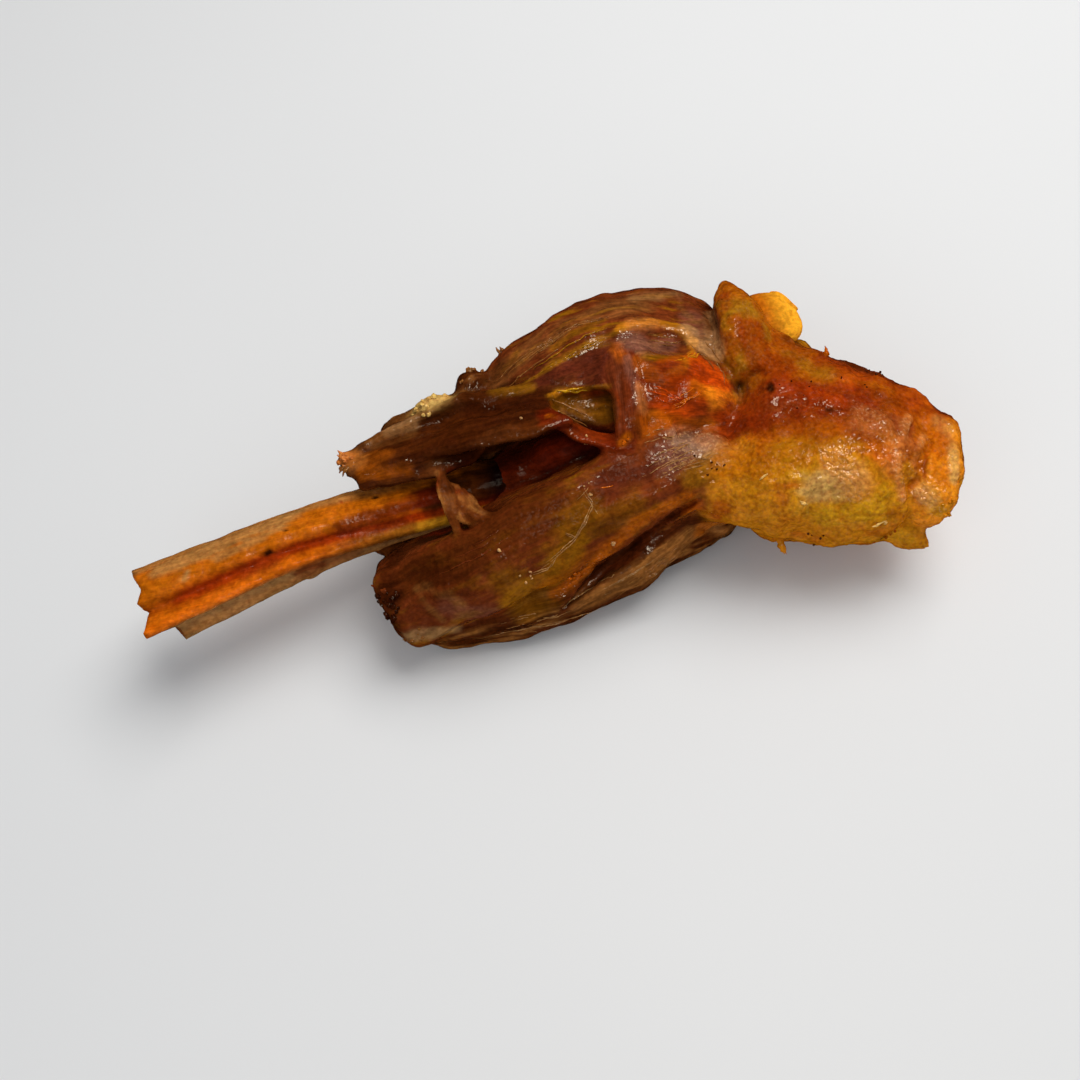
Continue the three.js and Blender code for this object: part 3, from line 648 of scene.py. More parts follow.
    (((118.6, 1, 43), (117, -8, 42)), 3.4, Tint.ORANGE, 0.85, 0, -0.9),
    (((116.6, -9, 42.5), (116, -15.5, 40.5)), 3.2, Tint.ORANGE, 0.6, 0, -0.9),
    (((114.5, -20, 38), (114.5, -23.5, 33)), 3, Tint.BRIGHT_ORANGE, 0.7, 0, 0.2),
    (((106, -11, 42), (107, -14, 40.5)), 2.6, Tint.HONEY, 0.9, 0.2),
    (((113, -22.5, 35), (115, -23, 34)), 2.6, Tint.YELLOW_FAT, 0.6, 0.2, 0.6),
    (((109, -17.5, 38.5), (112, -20.5, 36)), 2.4, Tint.PINK_SKIN, 0.5, 0.2, 0.6),
    (((107, 1, 46.8), (110, -1, 46)), 3.4, Tint.MAROON, 0.35),
    (((119.5, 1, 43.5), (121, -3, 43)), 2.2, Tint.CREAM, 0.22, 0.2, 0.9),
    (((121, -5, 41), (120.5, -10, 41), (118.7, -16, 39)), 1.9, Tint.CREAM, 0.6, 0.5, 0.5),
    (((110, -17, 38), (112, -20, 36)), 3, Tint.CREAM, 0.3, 0, 0.9),
    (((123.5, -6, 36), (123, -12, 32)), 2.4, Tint.CREAM, 0.7),
    (((86, 38, 41), (97, 31, 38), (108, 20, 38), (119, 9, 38), (126, -4, 35)), 9, Tint.BRICK, 0.45),
    (((88, 36, 42), (98, 29, 40), (110, 17, 40), (121, 5, 39)), 4.5, Tint.MAROON, 0.5),
    (((86, 38, 43.5), (91.5, 38, 40), (97, 31, 41.5)), 2.4, Tint.DARK_UMBER, 0.75, 0, -0.6),
    (((99, 30, 41.5), (104, 26, 41), (108.5, 20, 42.5)), 2.6, Tint.DARK_UMBER, 0.65, 0, -0.6),
    (((111, 17, 42.3), (113.5, 14.5, 42), (119, 9, 41.5)), 2, Tint.DARK_UMBER, 0.7, 0, -0.6),
    (((121, 6, 41.2), (123.5, 3, 41), (125.5, -4, 39), (125, -12, 36)), 1.8, Tint.DARK_UMBER, 0.6, 0, -0.6),
    (((75.3, 21.2, 47.1), (75.6, 20.2, 47.3)), 1.5, Tint.SOOT, 0.9, -0.4, -1),
    (((88.9, 9.4, 48.8), (90, 9, 48.8)), 1.2, Tint.SOOT, 0.9, -0.3, -1),
    (((70, 56, 50), (70, 50, 52)), 2.5, Tint.BRICK, 0.5),
))

BONE_STROKES = tuple(Stroke(*row) for row in (
    # dark meat residue on the bone under the web, partly painted shade where it enters the cavity
    (((-29, 13, 37), (-22, 15, 37), (-10, 17, 36)), 6.5, Tint.DARK_UMBER, 0.92),
    (((-30, 13.5, 37.5), (-22, 15.5, 38)), 5, Tint.SOOT, 0.6),
    (((-54, 13.5, 39), (-50, 14.5, 39)), 3.5, Tint.AMBER, 0.5),
    (((-86, 1, 37), (-80, 3, 37)), 3, Tint.MAROON, 0.4),
    (((-117, -5, 37), (-112, -5, 37)), 4, Tint.BONE_AMBER, 0.5),
    (((-88, 1, 37), (-80, 4, 37.5)), 2.2, Tint.GROOVE_RED, 0.5),
    (((-70, 1, 32), (-50, 6, 34), (-38, 7, 33)), 4, Tint.MAROON, 0.65, 0, -0.6),
    (((82, 57, 44), (89.5, 50, 42.7)), 1.5, Tint.BONE_AMBER, 0.7),
    (((88.8, 45.5, 41.5), (89.2, 43.5, 41)), 0.9, Tint.UMBER, 0.85, -0.2),
    (((78, 54, 45), (83, 50, 45)), 2.6, Tint.BONE_AMBER, 0.5),
    (((86, 55, 41), (90, 50, 38), (88, 45, 37)), 3.5, Tint.BONE_AMBER, 0.5),
    (((-46, 10, 36), (-36, 12, 37)), 3, Tint.DEEP_BRICK, 0.5, 0, -0.5),
    (((-112, 7, 40), (-70, 18, 39)), 3.4, Tint.BONE_TAN, 0.75, 0.15),
    (((-94, 7, 40), (-75, 13, 39)), 1.6, Tint.BONE_TAN, 0.6, 0.2),
    (((-104.5, 2, 40.5), (-103, 4, 40.7)), 1, Tint.BONE_TAN, 0.9, 0.3, 0.8),
    (((-118, 0, 40), (-108, 2, 40)), 4, Tint.BONE_AMBER, 0.7),
    (((-57, 10, 36), (-56, 20, 38)), 0.5, Tint.GROOVE_RED, 0.7, -0.15),
    (((-57, 10, 37), (-48, 12, 37), (-28, 14.5, 37)), 3, Tint.DEEP_BRICK, 0.75),
    (((-80.1, 5.8, 38), (-79, 6.4, 38)), 1, Tint.SOOT, 0.95, -0.4, -1),
    (((-46.2, 17.8, 38), (-45.6, 17.8, 38)), 0.8, Tint.SOOT, 0.95, -0.4, -1),
    (((-73.6, 11.7, 39), (-73.2, 11.7, 39)), 0.6, Tint.SOOT, 0.9, -0.3),
    (((-72.7, 1.4, 33.4), (-65.3, 2.7, 32)), 1.8, Tint.MAROON, 0.7, 0.7),
    (((-70, 0, 27), (-66, 0, 27)), 1.3, Tint.BONE_GREY, 0.7, 1),
    (((-122, 2, 33), (-116, 3, 33)), 2.4, Tint.MAROON, 0.8, -0.8),
))


# --- Clay: the bundles as one skin ---


@dataclass
class Skinned:
    """A skin of four-sided faces with a colour, a fibre direction and a feel at every point.

    Attributes:
        points: Rows of x, y, z in mm.
        quads: Rows of four point numbers.
        tone: Rows of linear RGB.
        fibre: Rows of places along, across and up in the muscle, mm.
        feel: Rows of fattiness, fibre relief, wetness and crinkle, 0 to 1.
    """

    points: np.ndarray
    quads: np.ndarray
    tone: np.ndarray = field(default_factory=lambda: np.zeros((0, 3)))
    fibre: np.ndarray = field(default_factory=lambda: np.zeros((0, 3)))
    feel: np.ndarray = field(default_factory=lambda: np.zeros((0, 4)))

    def normals(self) -> np.ndarray:
        """Outward direction at every point."""
        corner = self.points[self.quads]
        facing = np.cross(corner[:, 2] - corner[:, 0], corner[:, 3] - corner[:, 1])
        total = np.zeros_like(self.points)
        for side in range(4):
            for axis in range(3):
                total[:, axis] += np.bincount(self.quads[:, side], facing[:, axis], len(self.points))
        return unit(total)

    def edges(self) -> np.ndarray:
        """Rows of the two points at each end of every face side."""
        return np.concatenate([self.quads[:, [k, (k + 1) % 4]] for k in range(4)])

    def relax(self, share: float) -> None:
        """Move every point a share of the way to the middle of its neighbours."""
        edges = self.edges()
        count = np.bincount(edges[:, 0], minlength=len(self.points))
        for axis in range(3):
            total = np.bincount(edges[:, 0], self.points[edges[:, 1], axis], len(self.points))
            self.points[:, axis] += share * (total / np.maximum(count, 1) - self.points[:, axis])

    def keep_largest(self) -> None:
        """Drop every scrap that isn't joined to the largest body."""
        edges = self.edges()
        label = np.arange(len(self.points))
        while True:
            lowest = np.minimum(label[edges[:, 0]], label[edges[:, 1]])
            joined = label.copy()
            np.minimum.at(joined, edges[:, 0], lowest)
            np.minimum.at(joined, edges[:, 1], lowest)
            joined = joined[joined]
            if np.array_equal(joined, label):
                break
            label = joined
        wanted = label == np.bincount(label).argmax()
        number = np.cumsum(wanted) - 1
        self.quads = number[self.quads[wanted[self.quads[:, 0]]]]
        self.points = self.points[wanted]


class Warp:
    """Bends space a little, so that swept bundles turn into grown flesh."""

    SWAYS = ((26.0, 2.3), (9.0, 1.1), (4.2, 0.4))

    def __init__(self, seed: int) -> None:
        """Draw one noise for each axis."""
        self.noises = [LatticeNoise(seed + axis) for axis in range(3)]

    def bend(self, points: np.ndarray) -> np.ndarray:
        """Points moved by the sum of all sways, mm."""
        moved = points.copy()
        for span, sway in self.SWAYS:
            for axis, noise in enumerate(self.noises):
                moved[:, axis] += sway * noise.at(points / span + 3.7 * axis)
        return moved


class Clay:
    """The distance field of all bundles, sampled finely only where the skin runs."""

    FLOOR_ROUNDING = 1.5

    def __init__(self, bundles: tuple[Bundle, ...], warp: Warp, low: Triple, high: Triple, coarse: float,
                 split: int) -> None:
        """Measure the field.

        Args:
            bundles: What is joined and cut, in order.
            warp: How space is bent for all but the steady bundles.
            low: Lowest corner of the block, mm.
            high: Highest corner of the block, mm.
            coarse: Size of a coarse cell, mm.
            split: Fine cells along each side of a coarse one.
        """
        self.low = np.array(low, float)
        self.pitch = coarse / split
        cells = np.ceil((np.array(high) - self.low) / coarse).astype(int)
        corner = np.stack(np.meshgrid(*[np.arange(n) for n in cells], indexing="ij"), -1).reshape(-1, 3)
        middle = self.low + (corner + 0.5) * coarse
        bent = warp.bend(middle)
        band = coarse * 2.2
        rough = np.full(len(middle), FAR)
        apart = []
        for bundle in bundles:
            here = np.full(len(middle), FAR)
            source = middle if bundle.steady else bent
            box_low, box_high = bundle.reach(bundle.melt + band)
            inside = ((source > box_low) & (source < box_high)).all(1)
            here[inside] = bundle.measure(source[inside])[0]
            apart.append(here)
            LOG.debug("%s: %d coarse cells", bundle.name, int(inside.sum()))
            rough = self._join(rough, here, bundle)
        near = np.abs(rough) < band
        near &= middle[:, 2] > -band
        offsets = np.stack(np.meshgrid(*[np.arange(split)] * 3, indexing="ij"), -1).reshape(-1, 3)
        fine = np.full((int(near.sum()), len(offsets)), FAR)
        start = self.low + corner[near] * coarse
        places = (start[:, None] + offsets * self.pitch).reshape(-1, 3)
        bent = warp.bend(places).reshape(-1, len(offsets), 3)
        places = places.reshape(bent.shape)
        for bundle, here in zip(bundles, apart):
            wanted = here[near] < band + bundle.melt + coarse
            if wanted.any():
                source = (places if bundle.steady else bent)[wanted].reshape(-1, 3)
                distance = bundle.measure(source)[0].reshape(-1, len(offsets))
                fine[wanted] = self._join(fine[wanted], distance, bundle)
        dense = np.repeat(np.repeat(np.repeat(rough.reshape(cells), split, 0), split, 1), split, 2)
        at = corner[near][:, None] * split + offsets
        dense[at[..., 0], at[..., 1], at[..., 2]] = fine
        height = self.low[2] + self.pitch * np.arange(dense.shape[2])
        self.values = -melt(-dense, np.broadcast_to(height, dense.shape), self.FLOOR_ROUNDING)

    @staticmethod
    def _join(total: np.ndarray, distance: np.ndarray, bundle: Bundle) -> np.ndarray:
        """Add a bundle to a field, or cut it out."""
        if bundle.cut:
            return -melt(-total, distance, bundle.melt)
        return melt(total, distance, bundle.melt)

    def at(self, points: np.ndarray) -> np.ndarray:
        """The field at points, from the fine cells round them."""
        place = np.clip((points - self.low) / self.pitch, 0, np.array(self.values.shape) - 1.001)
        cell = place.astype(int)
        part = place - cell
        total = np.zeros(len(points))
        for i, j, k in np.ndindex(2, 2, 2):
            share = np.ones(len(points))
            for axis, step in enumerate((i, j, k)):
                share = share * (part[:, axis] if step else 1 - part[:, axis])
            total += share * self.values[cell[:, 0] + i, cell[:, 1] + j, cell[:, 2] + k]
        return total

    def slope(self, points: np.ndarray) -> np.ndarray:
        """Steepest rise of the field at points."""
        rise = np.zeros_like(points)
        for axis in range(3):
            step = np.zeros(3)
            step[axis] = self.pitch
            rise[:, axis] = (self.at(points + step) - self.at(points - step)) / (2 * self.pitch)
        return rise

    def settle(self, skin: Skinned) -> None:
        """Pull every point of a skin back onto the field's zero."""
        rise = self.slope(skin.points)
        steep = np.maximum((rise * rise).sum(1), 0.25)
        step = np.clip(self.at(skin.points) / steep, -self.pitch, self.pitch)
        skin.points -= step[:, None] * rise

    def skin(self) -> Skinned:
        """The surface where the field is zero, with one point in each cell that it crosses."""
        values = self.values
        inside = values < 0
        shape = np.array(values.shape)
        count = np.zeros(shape - 1, np.int8)
        corners = list(np.ndindex(2, 2, 2))
        for i, j, k in corners:
            count += inside[i:shape[0] - 1 + i, j:shape[1] - 1 + j, k:shape[2] - 1 + k]
        cells = np.argwhere((count > 0) & (count < 8))
        number = np.full(shape - 1, -1, np.int64)
        number[tuple(cells.T)] = np.arange(len(cells))
        total = np.zeros((len(cells), 3))
        crossings = np.zeros(len(cells))
        for axis in range(3):
            for corner in corners:
                if corner[axis]:
                    continue
                first = np.array(corner)
                second = first.copy()
                second[axis] = 1
                start = values[tuple((cells + first).T)]
                end = values[tuple((cells + second).T)]
                crosses = (start < 0) != (end < 0)
                share = np.where(crosses, start / (start - end + 1e-12), 0)
                total += crosses[:, None] * (first + (second - first) * share[:, None])
                crossings += crosses
        points = self.low + self.pitch * (cells + total / crossings[:, None])
        quads = [self._faces(inside, number, axis) for axis in range(3)]
        return Skinned(points, np.concatenate(quads))

    @staticmethod
    def _faces(inside: np.ndarray, number: np.ndarray, axis: int) -> np.ndarray:
        """Faces across the grid lines of one axis where they pass through the skin.

        Args:
            inside: Which grid corners are inside.
            number: The point number of each cell.
            axis: Which way the grid lines run.

        Returns:
            Rows of four point numbers, facing outwards.
        """
        first, second = (axis + 1) % 3, (axis + 2) % 3
        before = np.take(inside, np.arange(inside.shape[axis] - 1), axis)
        after = np.take(inside, np.arange(1, inside.shape[axis]), axis)
        line = np.argwhere(before != after)
        clear = (line[:, first] > 0) & (line[:, second] > 0)
        clear &= (line[:, first] < inside.shape[first] - 1) & (line[:, second] < inside.shape[second] - 1)
        line = line[clear]
        leaving = before[tuple(line.T)]
        ring = []
        for back_first, back_second in ((1, 1), (0, 1), (0, 0), (1, 0)):
            cell = line.copy()
            cell[:, first] -= back_first
            cell[:, second] -= back_second
            ring.append(number[tuple(cell.T)])
        quads = np.stack(ring, 1)
        quads[~leaving] = quads[~leaving][:, ::-1]
        return quads


# --- The flesh ---


class ShankFrame:
    """Places the shank's own millimetres in the row's frame, in metres.

    Attributes:
        OWN_CORNER: Where the solids' lowest corner is in the shank's own mm.
    """

    OWN_CORNER = (-121.395, -27.401, 0.0)

    def __init__(self) -> None:
        """Find the shift from the lowest corner of the solids' box."""
        self.shift = np.array(CAD_BOX[0]) / MM - np.array(self.OWN_CORNER)
        LOG.info("shift to the row's frame: %s mm", self.shift.round(2).tolist())

    def metres(self, points: np.ndarray) -> np.ndarray:
        """Points in the row's frame, in metres."""
        return (points + self.shift) * MM


@dataclass
class Flesh:
    """All the muscle, fat and gristle as one skin."""

    # Red, green and blue that thin edges gain as painted glow, that wrinkle creases lose, and that hollows
    # lose as painted shade.
    PAINTED_EDGE_GLOW = np.array([0.03, 0.012, 0.002])
    CREASE_LOSS = np.array([0.12, 0.25, 0.3])
    PAINTED_HOLLOW_SHADE = np.array([0.72, 0.84, 0.9])

    low: Triple = (-60.0, -38.0, -2.3)
    high: Triple = (132.0, 76.0, 60.0)
    coarse: float = 3.12
    split: int = 4
    seed: int = 11
    warp_seed: int = 61
    fibre_shift: float = 37.0
    colour_softness: float = 1.3
    fibre_span: Pair = (24.0, 4.2)
    fine_span: Pair = (11.0, 1.7)
    lump_span: float = 4.5
    crease_span: float = 6.5
    crease_depth: float = 0.35
    shade_reach: tuple[float, ...] = (1.2, 2.8, 6.0)

    def sculpt(self) -> Skinned:
        """Melt the bundles together, skin them, raise the relief and paint the skin.

        Returns:
            The finished skin, in the shank's own mm.
        """
        warp = Warp(self.warp_seed)
        clay = Clay(BUNDLES, warp, self.low, self.high, self.coarse, self.split)
        skin = clay.skin()
        skin.keep_largest()
        skin.relax(0.5)
        clay.settle(skin)
        clay.settle(skin)
        noise = LatticeNoise(self.seed)
        looks = self._looks(skin, warp)
        shade, thin = self._shade(clay, skin)
        waver = self._waver(noise, skin)
        self._raise(skin, noise, looks, waver)
        self._paint(skin, noise, looks, shade, thin, waver)
        return skin

    def _looks(self, skin: Skinned, warp: Warp) -> np.ndarray:
        """Blend the finishes of the bundles at each point, and fill in the skin's fibre rows.

        Args:
            skin: The skin.
            warp: How space was bent for the sculpt.

        Returns:
            Rows of base colour, streak colour, streak share, fibre relief, lump relief and fattiness.
        """
        solid = [bundle for bundle in BUNDLES if not bundle.cut]
        bent = warp.bend(skin.points)
        count = len(bent)
        distance = np.full((len(solid), count), FAR)
        place = np.zeros((len(solid), count, 3))
        for row, bundle in enumerate(solid):
            low, high = bundle.reach(4.0)
            near = ((bent > low) & (bent < high)).all(1)
            distance[row, near], local = bundle.measure(bent[near])
            place[row, near] = local[:, :3]
        best = distance.argmin(0)
        skin.fibre = place[best, np.arange(count)] + self.fibre_shift * best[:, None]
        weight = np.exp(-(distance - distance.min(0)) / self.colour_softness)
        weight /= weight.sum(0)
        looks = weight.T @ np.array([self._numbers(bundle) for bundle in solid])
        for bundle in BUNDLES:
            if bundle.cut:
                low, high = bundle.reach(1.0)
                source = skin.points if bundle.steady else bent
                near = ((source > low) & (source < high)).all(1)
                depth = np.abs(bundle.measure(source[near])[0])
                looks[near] = blend(looks[near], self._numbers(bundle), smooth_step(1.3, 0.2, depth))
        return looks

    @staticmethod
    def _numbers(bundle: Bundle) -> np.ndarray:
        """A bundle's finish as one row of numbers."""
        look = bundle.skin.value
        feel = (look.share, look.fibre, look.lumps, look.fatty)
        return np.array([*look.base.value, *look.streak.value, *feel])

    def _shade(self, clay: Clay, skin: Skinned) -> tuple[np.ndarray, np.ndarray]:
        """How closed in and how thin the flesh is at each point, for the painted shade in hollows and the
        painted glow at thin edges.

        Args:
            clay: The field.
            skin: The skin.

        Returns:
            Shares from 0 in the open to 1 deep in a crease, and from 0 in the thick to 1 at a thin edge.
        """
        normals = skin.normals()
        shade = np.zeros(len(skin.points))
        for reach in self.shade_reach:
            outside = clay.at(skin.points + normals * reach)
            shade += np.clip((reach - outside) / reach, 0.0, 1.6) / len(self.shade_reach)
        inside = clay.at(skin.points - normals * 3.0)
        return np.clip(shade, 0.0, 1.0), smooth_step(-1.6, 0.2, inside)

    def _waver(self, noise: LatticeNoise, skin: Skinned) -> np.ndarray:
        """Noise that breaks up the edges of stains, drawn out along the fibre."""
        drawn = skin.fibre / np.array([9.0, 1.6, 1.6])
        return 0.6 * noise.layered(skin.points / 5.0, 3) + 0.7 * noise.layered(drawn, 2)

    def _creases(self, noise: LatticeNoise, skin: Skinned) -> np.ndarray:
        """Winding wrinkles of shrunken skin, 1 at their bottom."""
        valley = smooth_step(0.13, 0.0, np.abs(noise.layered(skin.points / self.crease_span + 21.0, 2, 0.6)))
        return valley * smooth_step(-0.1, 0.35, noise.at(skin.points / self.crease_span + 5.0))

    def _raise(self, skin: Skinned, noise: LatticeNoise, looks: np.ndarray, waver: np.ndarray) -> None:
        """Lift and dent the skin with fibre, blisters and strokes.

        Args:
            skin: The skin to change.
            noise: The noise.
            looks: The blended finishes.
            waver: Noise for the edges of strokes.
        """
        long, wide = self.fibre_span
        short, narrow = self.fine_span
        broad = noise.at(skin.fibre / np.array([long, wide, wide]))
        fine = noise.at(skin.fibre / np.array([short, narrow, narrow]) + 9.0)
        lumps = noise.layered(skin.points / self.lump_span, 3, 0.75)
        height = looks[:, 7] * (1.1 * broad + 0.6 * fine) + looks[:, 8] * 1.2 * lumps
        height -= self.crease_depth * looks[:, 9] * self._creases(noise, skin)
        for stroke in FLESH_STROKES:
            if stroke.lift:
                height += stroke.lift * stroke.cover(skin.points, waver)
        height *= smooth_step(0.0, 2.5, skin.points[:, 2])
        skin.points += skin.normals() * height[:, None]
        skin.points[:, 2] = np.maximum(skin.points[:, 2], 0.0)

    def _paint(self, skin: Skinned, noise: LatticeNoise, looks: np.ndarray, shade: np.ndarray,
               thin: np.ndarray, waver: np.ndarray) -> None:
        """Colour the skin: base, streaks, strokes, a painted glow at thin edges, darker wrinkle creases and
        painted shade in hollows.

        Args:
            skin: The skin to colour.
            noise: The noise.
            looks: The blended finishes.
            shade: How closed in each point is, which sets the painted shade in hollows.
            thin: How thin the flesh is at each point, which sets the painted glow at thin edges.
            waver: Noise for the edges of strokes.
        """
        streaks = noise.layered(skin.fibre / np.array([30.0, 2.4, 2.4]) + 3.0, 3, 0.6)
        blotch = noise.layered(skin.points / 9.0 + 5.0, 3, 0.6)
        fatty = looks[:, 9]
        mark = streaks * (1 - fatty) + blotch * fatty
        level = 0.42 - 0.85 * looks[:, 6]
        tone = blend(looks[:, 0:3], looks[:, 3:6], smooth_step(level - 0.12, level + 0.3, mark))
        for stroke in FLESH_STROKES:
            tone = blend(tone, np.array(stroke.tint.value), stroke.cover(skin.points, waver))
        # painted glow: thin edges made lighter and warmer, as if lit through
        tone = blend(tone, tone * 1.6 + self.PAINTED_EDGE_GLOW, thin * 0.5)
        variation = 1 + 0.35 * streaks * (1 - fatty) + 0.3 * blotch
        tone = tone * (1 - self._creases(noise, skin)[:, None] * fatty[:, None] * self.CREASE_LOSS)
        tone = tone * np.clip(variation, 0.4, 1.7)[:, None]
        # painted shade: closed-in hollows and gaps between bundles made darker
        dark = smooth_step(0.12, 0.85, shade)
        tone = tone * (1 - dark[:, None] * self.PAINTED_HOLLOW_SHADE)
        skin.tone = np.clip(tone, 0.001, 1.0)
        oil = sum(stroke.gloss * stroke.cover(skin.points, waver) for stroke in FLESH_STROKES if stroke.gloss)
        wet = np.clip(0.45 + 0.1 * fatty + 0.7 * noise.layered(skin.points / 7.0 + 11.0, 2) + oil, 0.0, 1.0)
        crinkle = np.clip(0.3 + 0.3 * fatty + 0.5 * np.maximum(oil, 0.0), 0.0, 1.0)
        fibre_share = np.clip(looks[:, 7] / 0.5, 0.0, 1.0)
        skin.feel = np.stack([np.clip(fatty, 0, 1), fibre_share, wet * (1 - 0.7 * dark), crinkle], axis=1)


# --- The bone ---


@dataclass(frozen=True)
class Station:
    """A place on the bone's spine with its width and thickness there, mm."""

    at: Triple
    width: float
    thick: float


@dataclass(frozen=True)
class Ridge:
    """A long ridge or groove of the bone, by its place round the section in degrees.

    Attributes:
        angle: Middle, 0 away from the front and 90 up.
        spread: Half width in degrees.
        height: Height as a share of the radius, below 0 for a groove.
        tint: Colour where it is strongest.
    """

    angle: float
    spread: float
    height: float
    tint: Tint

    def strength(self, degrees: np.ndarray) -> np.ndarray:
        """How strong the ridge is at angles round the section, 0 to 1."""
        apart = (degrees - self.angle + 180) % 360 - 180
        return np.exp(-((apart / self.spread) ** 2))


@dataclass
class Shankbone:
    """The bare, oily bone: sawn at one end, two ridges with a groove between, a knob at the other."""

    stations: tuple[Station, ...] = (
        Station((-128, -2.5, 31), 27.5, 19),
        Station((-72, 10.9, 31), 21.8, 16),
        Station((-40, 15.8, 30), 19.5, 15),
        Station((-12, 17.5, 29), 18.5, 15),
        Station((20, 23, 27), 16, 14),
        Station((52, 33, 28), 16, 14),
        Station((76, 46, 34), 20, 18),
        Station((91, 57, 38), 26, 20),
    )
    ridges: tuple[Ridge, ...] = (
        Ridge(80, 24, 0.06, Tint.BONE_AMBER),
        Ridge(118, 13, -0.24, Tint.GROOVE_RED),
        Ridge(140, 10, 0.12, Tint.BONE_ORANGE),
        Ridge(166, 13, -0.14, Tint.BONE_GREY),
        Ridge(204, 20, 0.05, Tint.BONE_TAN),
    )
    relief_span: Pair = (-126.0, 0.0)
    relief: Pair = (1.2, 0.2)
    knob_cap: float = 0.09
    knob_flat: float = 0.4
    saw_steps: tuple[Pair, ...] = (
        (60, 1.0), (85, 0.5), (100, 3.2), (111, 2.5), (119, 1.5), (130, 3.5), (138, 5.5),
        (151, 5.5), (157, 2.5), (163, -3.0), (176, -4.0), (215, -3.5), (300, 0.0),
    )
    twist: Triple = (-78.0, -38.0, 20.0)
    saw_point: Triple = (-117.0, 0.0, 30.0)
    saw_outward: Triple = (-0.924, -0.36, 0.10)
    sides: int = 144
    rings: int = 330
    end_rings: int = 16
    marrow_depth: float = 5.0
    wall: float = 0.42
    seed: int = 23

    def _spine(self, along: np.ndarray) -> tuple[np.ndarray, np.ndarray]:
        """Places and directions on a smooth curve through the stations.

        Args:
            along: Shares of the length from 0 to 1, of any shape.

        Returns:
            Places in mm and unit directions, with a last axis of three.
        """
        knots = np.array([station.at for station in self.stations], float)
        knots = np.vstack([2 * knots[0] - knots[1], knots, 2 * knots[-1] - knots[-2]])
        last = len(self.stations) - 1
        cell = np.minimum((along * last).astype(int), last - 1)
        t = (along * last - cell)[..., None]
        p0, p1, p2, p3 = (knots[cell + k] for k in range(4))
        lean_in, lean_out = (p2 - p0) / 2, (p3 - p1) / 2
        cubic = 2 * p1 - 2 * p2 + lean_in + lean_out
        square = -3 * p1 + 3 * p2 - 2 * lean_in - lean_out
        place = ((cubic * t + square) * t + lean_in) * t + p1
        return place, unit((3 * cubic * t + 2 * square) * t + lean_in)

    def _turned(self, length: np.ndarray) -> np.ndarray:
        """Degrees by which the ridges wind round the bone at places along it."""
        start, stop, turn = self.twist
        return turn * smooth_step(start, stop, length)

    def _surface(self, along: np.ndarray, around: np.ndarray) -> np.ndarray:
        """Points of the plain bone.

        Args:
            along: Shares of the length.
            around: Angles round the section in radians, of the same shape.

        Returns:
            Places in mm with a last axis of three.
        """
        place, ahead = self._spine(along)
        level = unit(np.cross(UPWARDS, ahead))
        upright = np.cross(ahead, level)
        stops = np.linspace(0, 1, len(self.stations))
        width = np.interp(along, stops, [station.width for station in self.stations])
        thick = np.interp(along, stops, [station.thick for station in self.stations])
        into_cap = np.clip((1 - along) / self.knob_cap, 0, 1)
        closing = np.maximum(self.knob_flat, np.sqrt(np.clip(1 - (1 - into_cap) ** 2, 0, 1)))
        fade = smooth_step(*self.relief_span, place[..., 0])
        strength = self.relief[0] + (self.relief[1] - self.relief[0]) * fade
        degrees = np.degrees(around) - self._turned(place[..., 0])
        factor = 1 + strength * sum(ridge.height * ridge.strength(degrees) for ridge in self.ridges)
        factor = factor * (1 + 0.07 * smooth_step(0.9, 0.95, along) * np.cos(4 * around + 0.8))
        size = factor * closing
        return (place + level * (np.cos(around) * width / 2 * size)[..., None]
                + upright * (np.sin(around) * thick / 2 * size)[..., None])

    def sculpt(self) -> Skinned:
        """Sweep, saw, pit and paint the bone.

        Returns:
            The finished skin, in the shank's own mm.
        """
        turns = np.arange(self.sides) / self.sides * 2 * math.pi
        outward = unit(np.array(self.saw_outward))
        probe = np.linspace(0, 0.12, 240)
        grid = self._surface(*np.meshgrid(probe, turns, indexing="ij"))
        corners, steps = np.array(self.saw_steps).T
        step_out = np.interp(np.degrees(turns), corners, steps, period=360)
        beyond = (grid - np.array(self.saw_point)) @ outward - step_out
        start = probe[(beyond > 0).sum(0).clip(0, len(probe) - 1)]
        row = np.linspace(0, 1, self.rings)
        share = 0.55 * row + 0.45 * np.sin(row * math.pi / 2)
        along = start[None, :] + (1 - start[None, :]) * share[:, None]
        around = np.broadcast_to(turns, along.shape)
        body = self._surface(along, around)
        inward = np.linspace(1, 0, self.end_rings + 1)[1:-1]
        centre = body[0].mean(0)
        noise = LatticeNoise(self.seed)
        caps = []
        for step in inward[::-1]:
            ring = centre + (body[0] - centre) * step
            hollow = smooth_step(1 - self.wall * 0.55, 1 - self.wall * 1.3, np.full(self.sides, step))
            depth = self.marrow_depth * hollow * (1 + 0.4 * noise.at(ring / 3.0))
            caps.append(ring - outward * depth[:, None])
        grid = np.concatenate([np.array(caps), body])
        poles = np.array([grid[0].mean(0), grid[-1].mean(0)])
        points = np.vstack([grid.reshape(-1, 3), poles])
        count = len(grid)
        ring, side = np.meshgrid(np.arange(count - 1), np.arange(self.sides), indexing="ij")
        after = (side + 1) % self.sides
        quads = np.stack([ring * self.sides + side, ring * self.sides + after,
                          (ring + 1) * self.sides + after, (ring + 1) * self.sides + side], -1)
        skin = Skinned(points, quads.reshape(-1, 4))
        angles = np.degrees(np.broadcast_to(turns, (count, self.sides)).ravel())
        self._finish(skin, angles, noise, len(caps) * self.sides)
        return skin

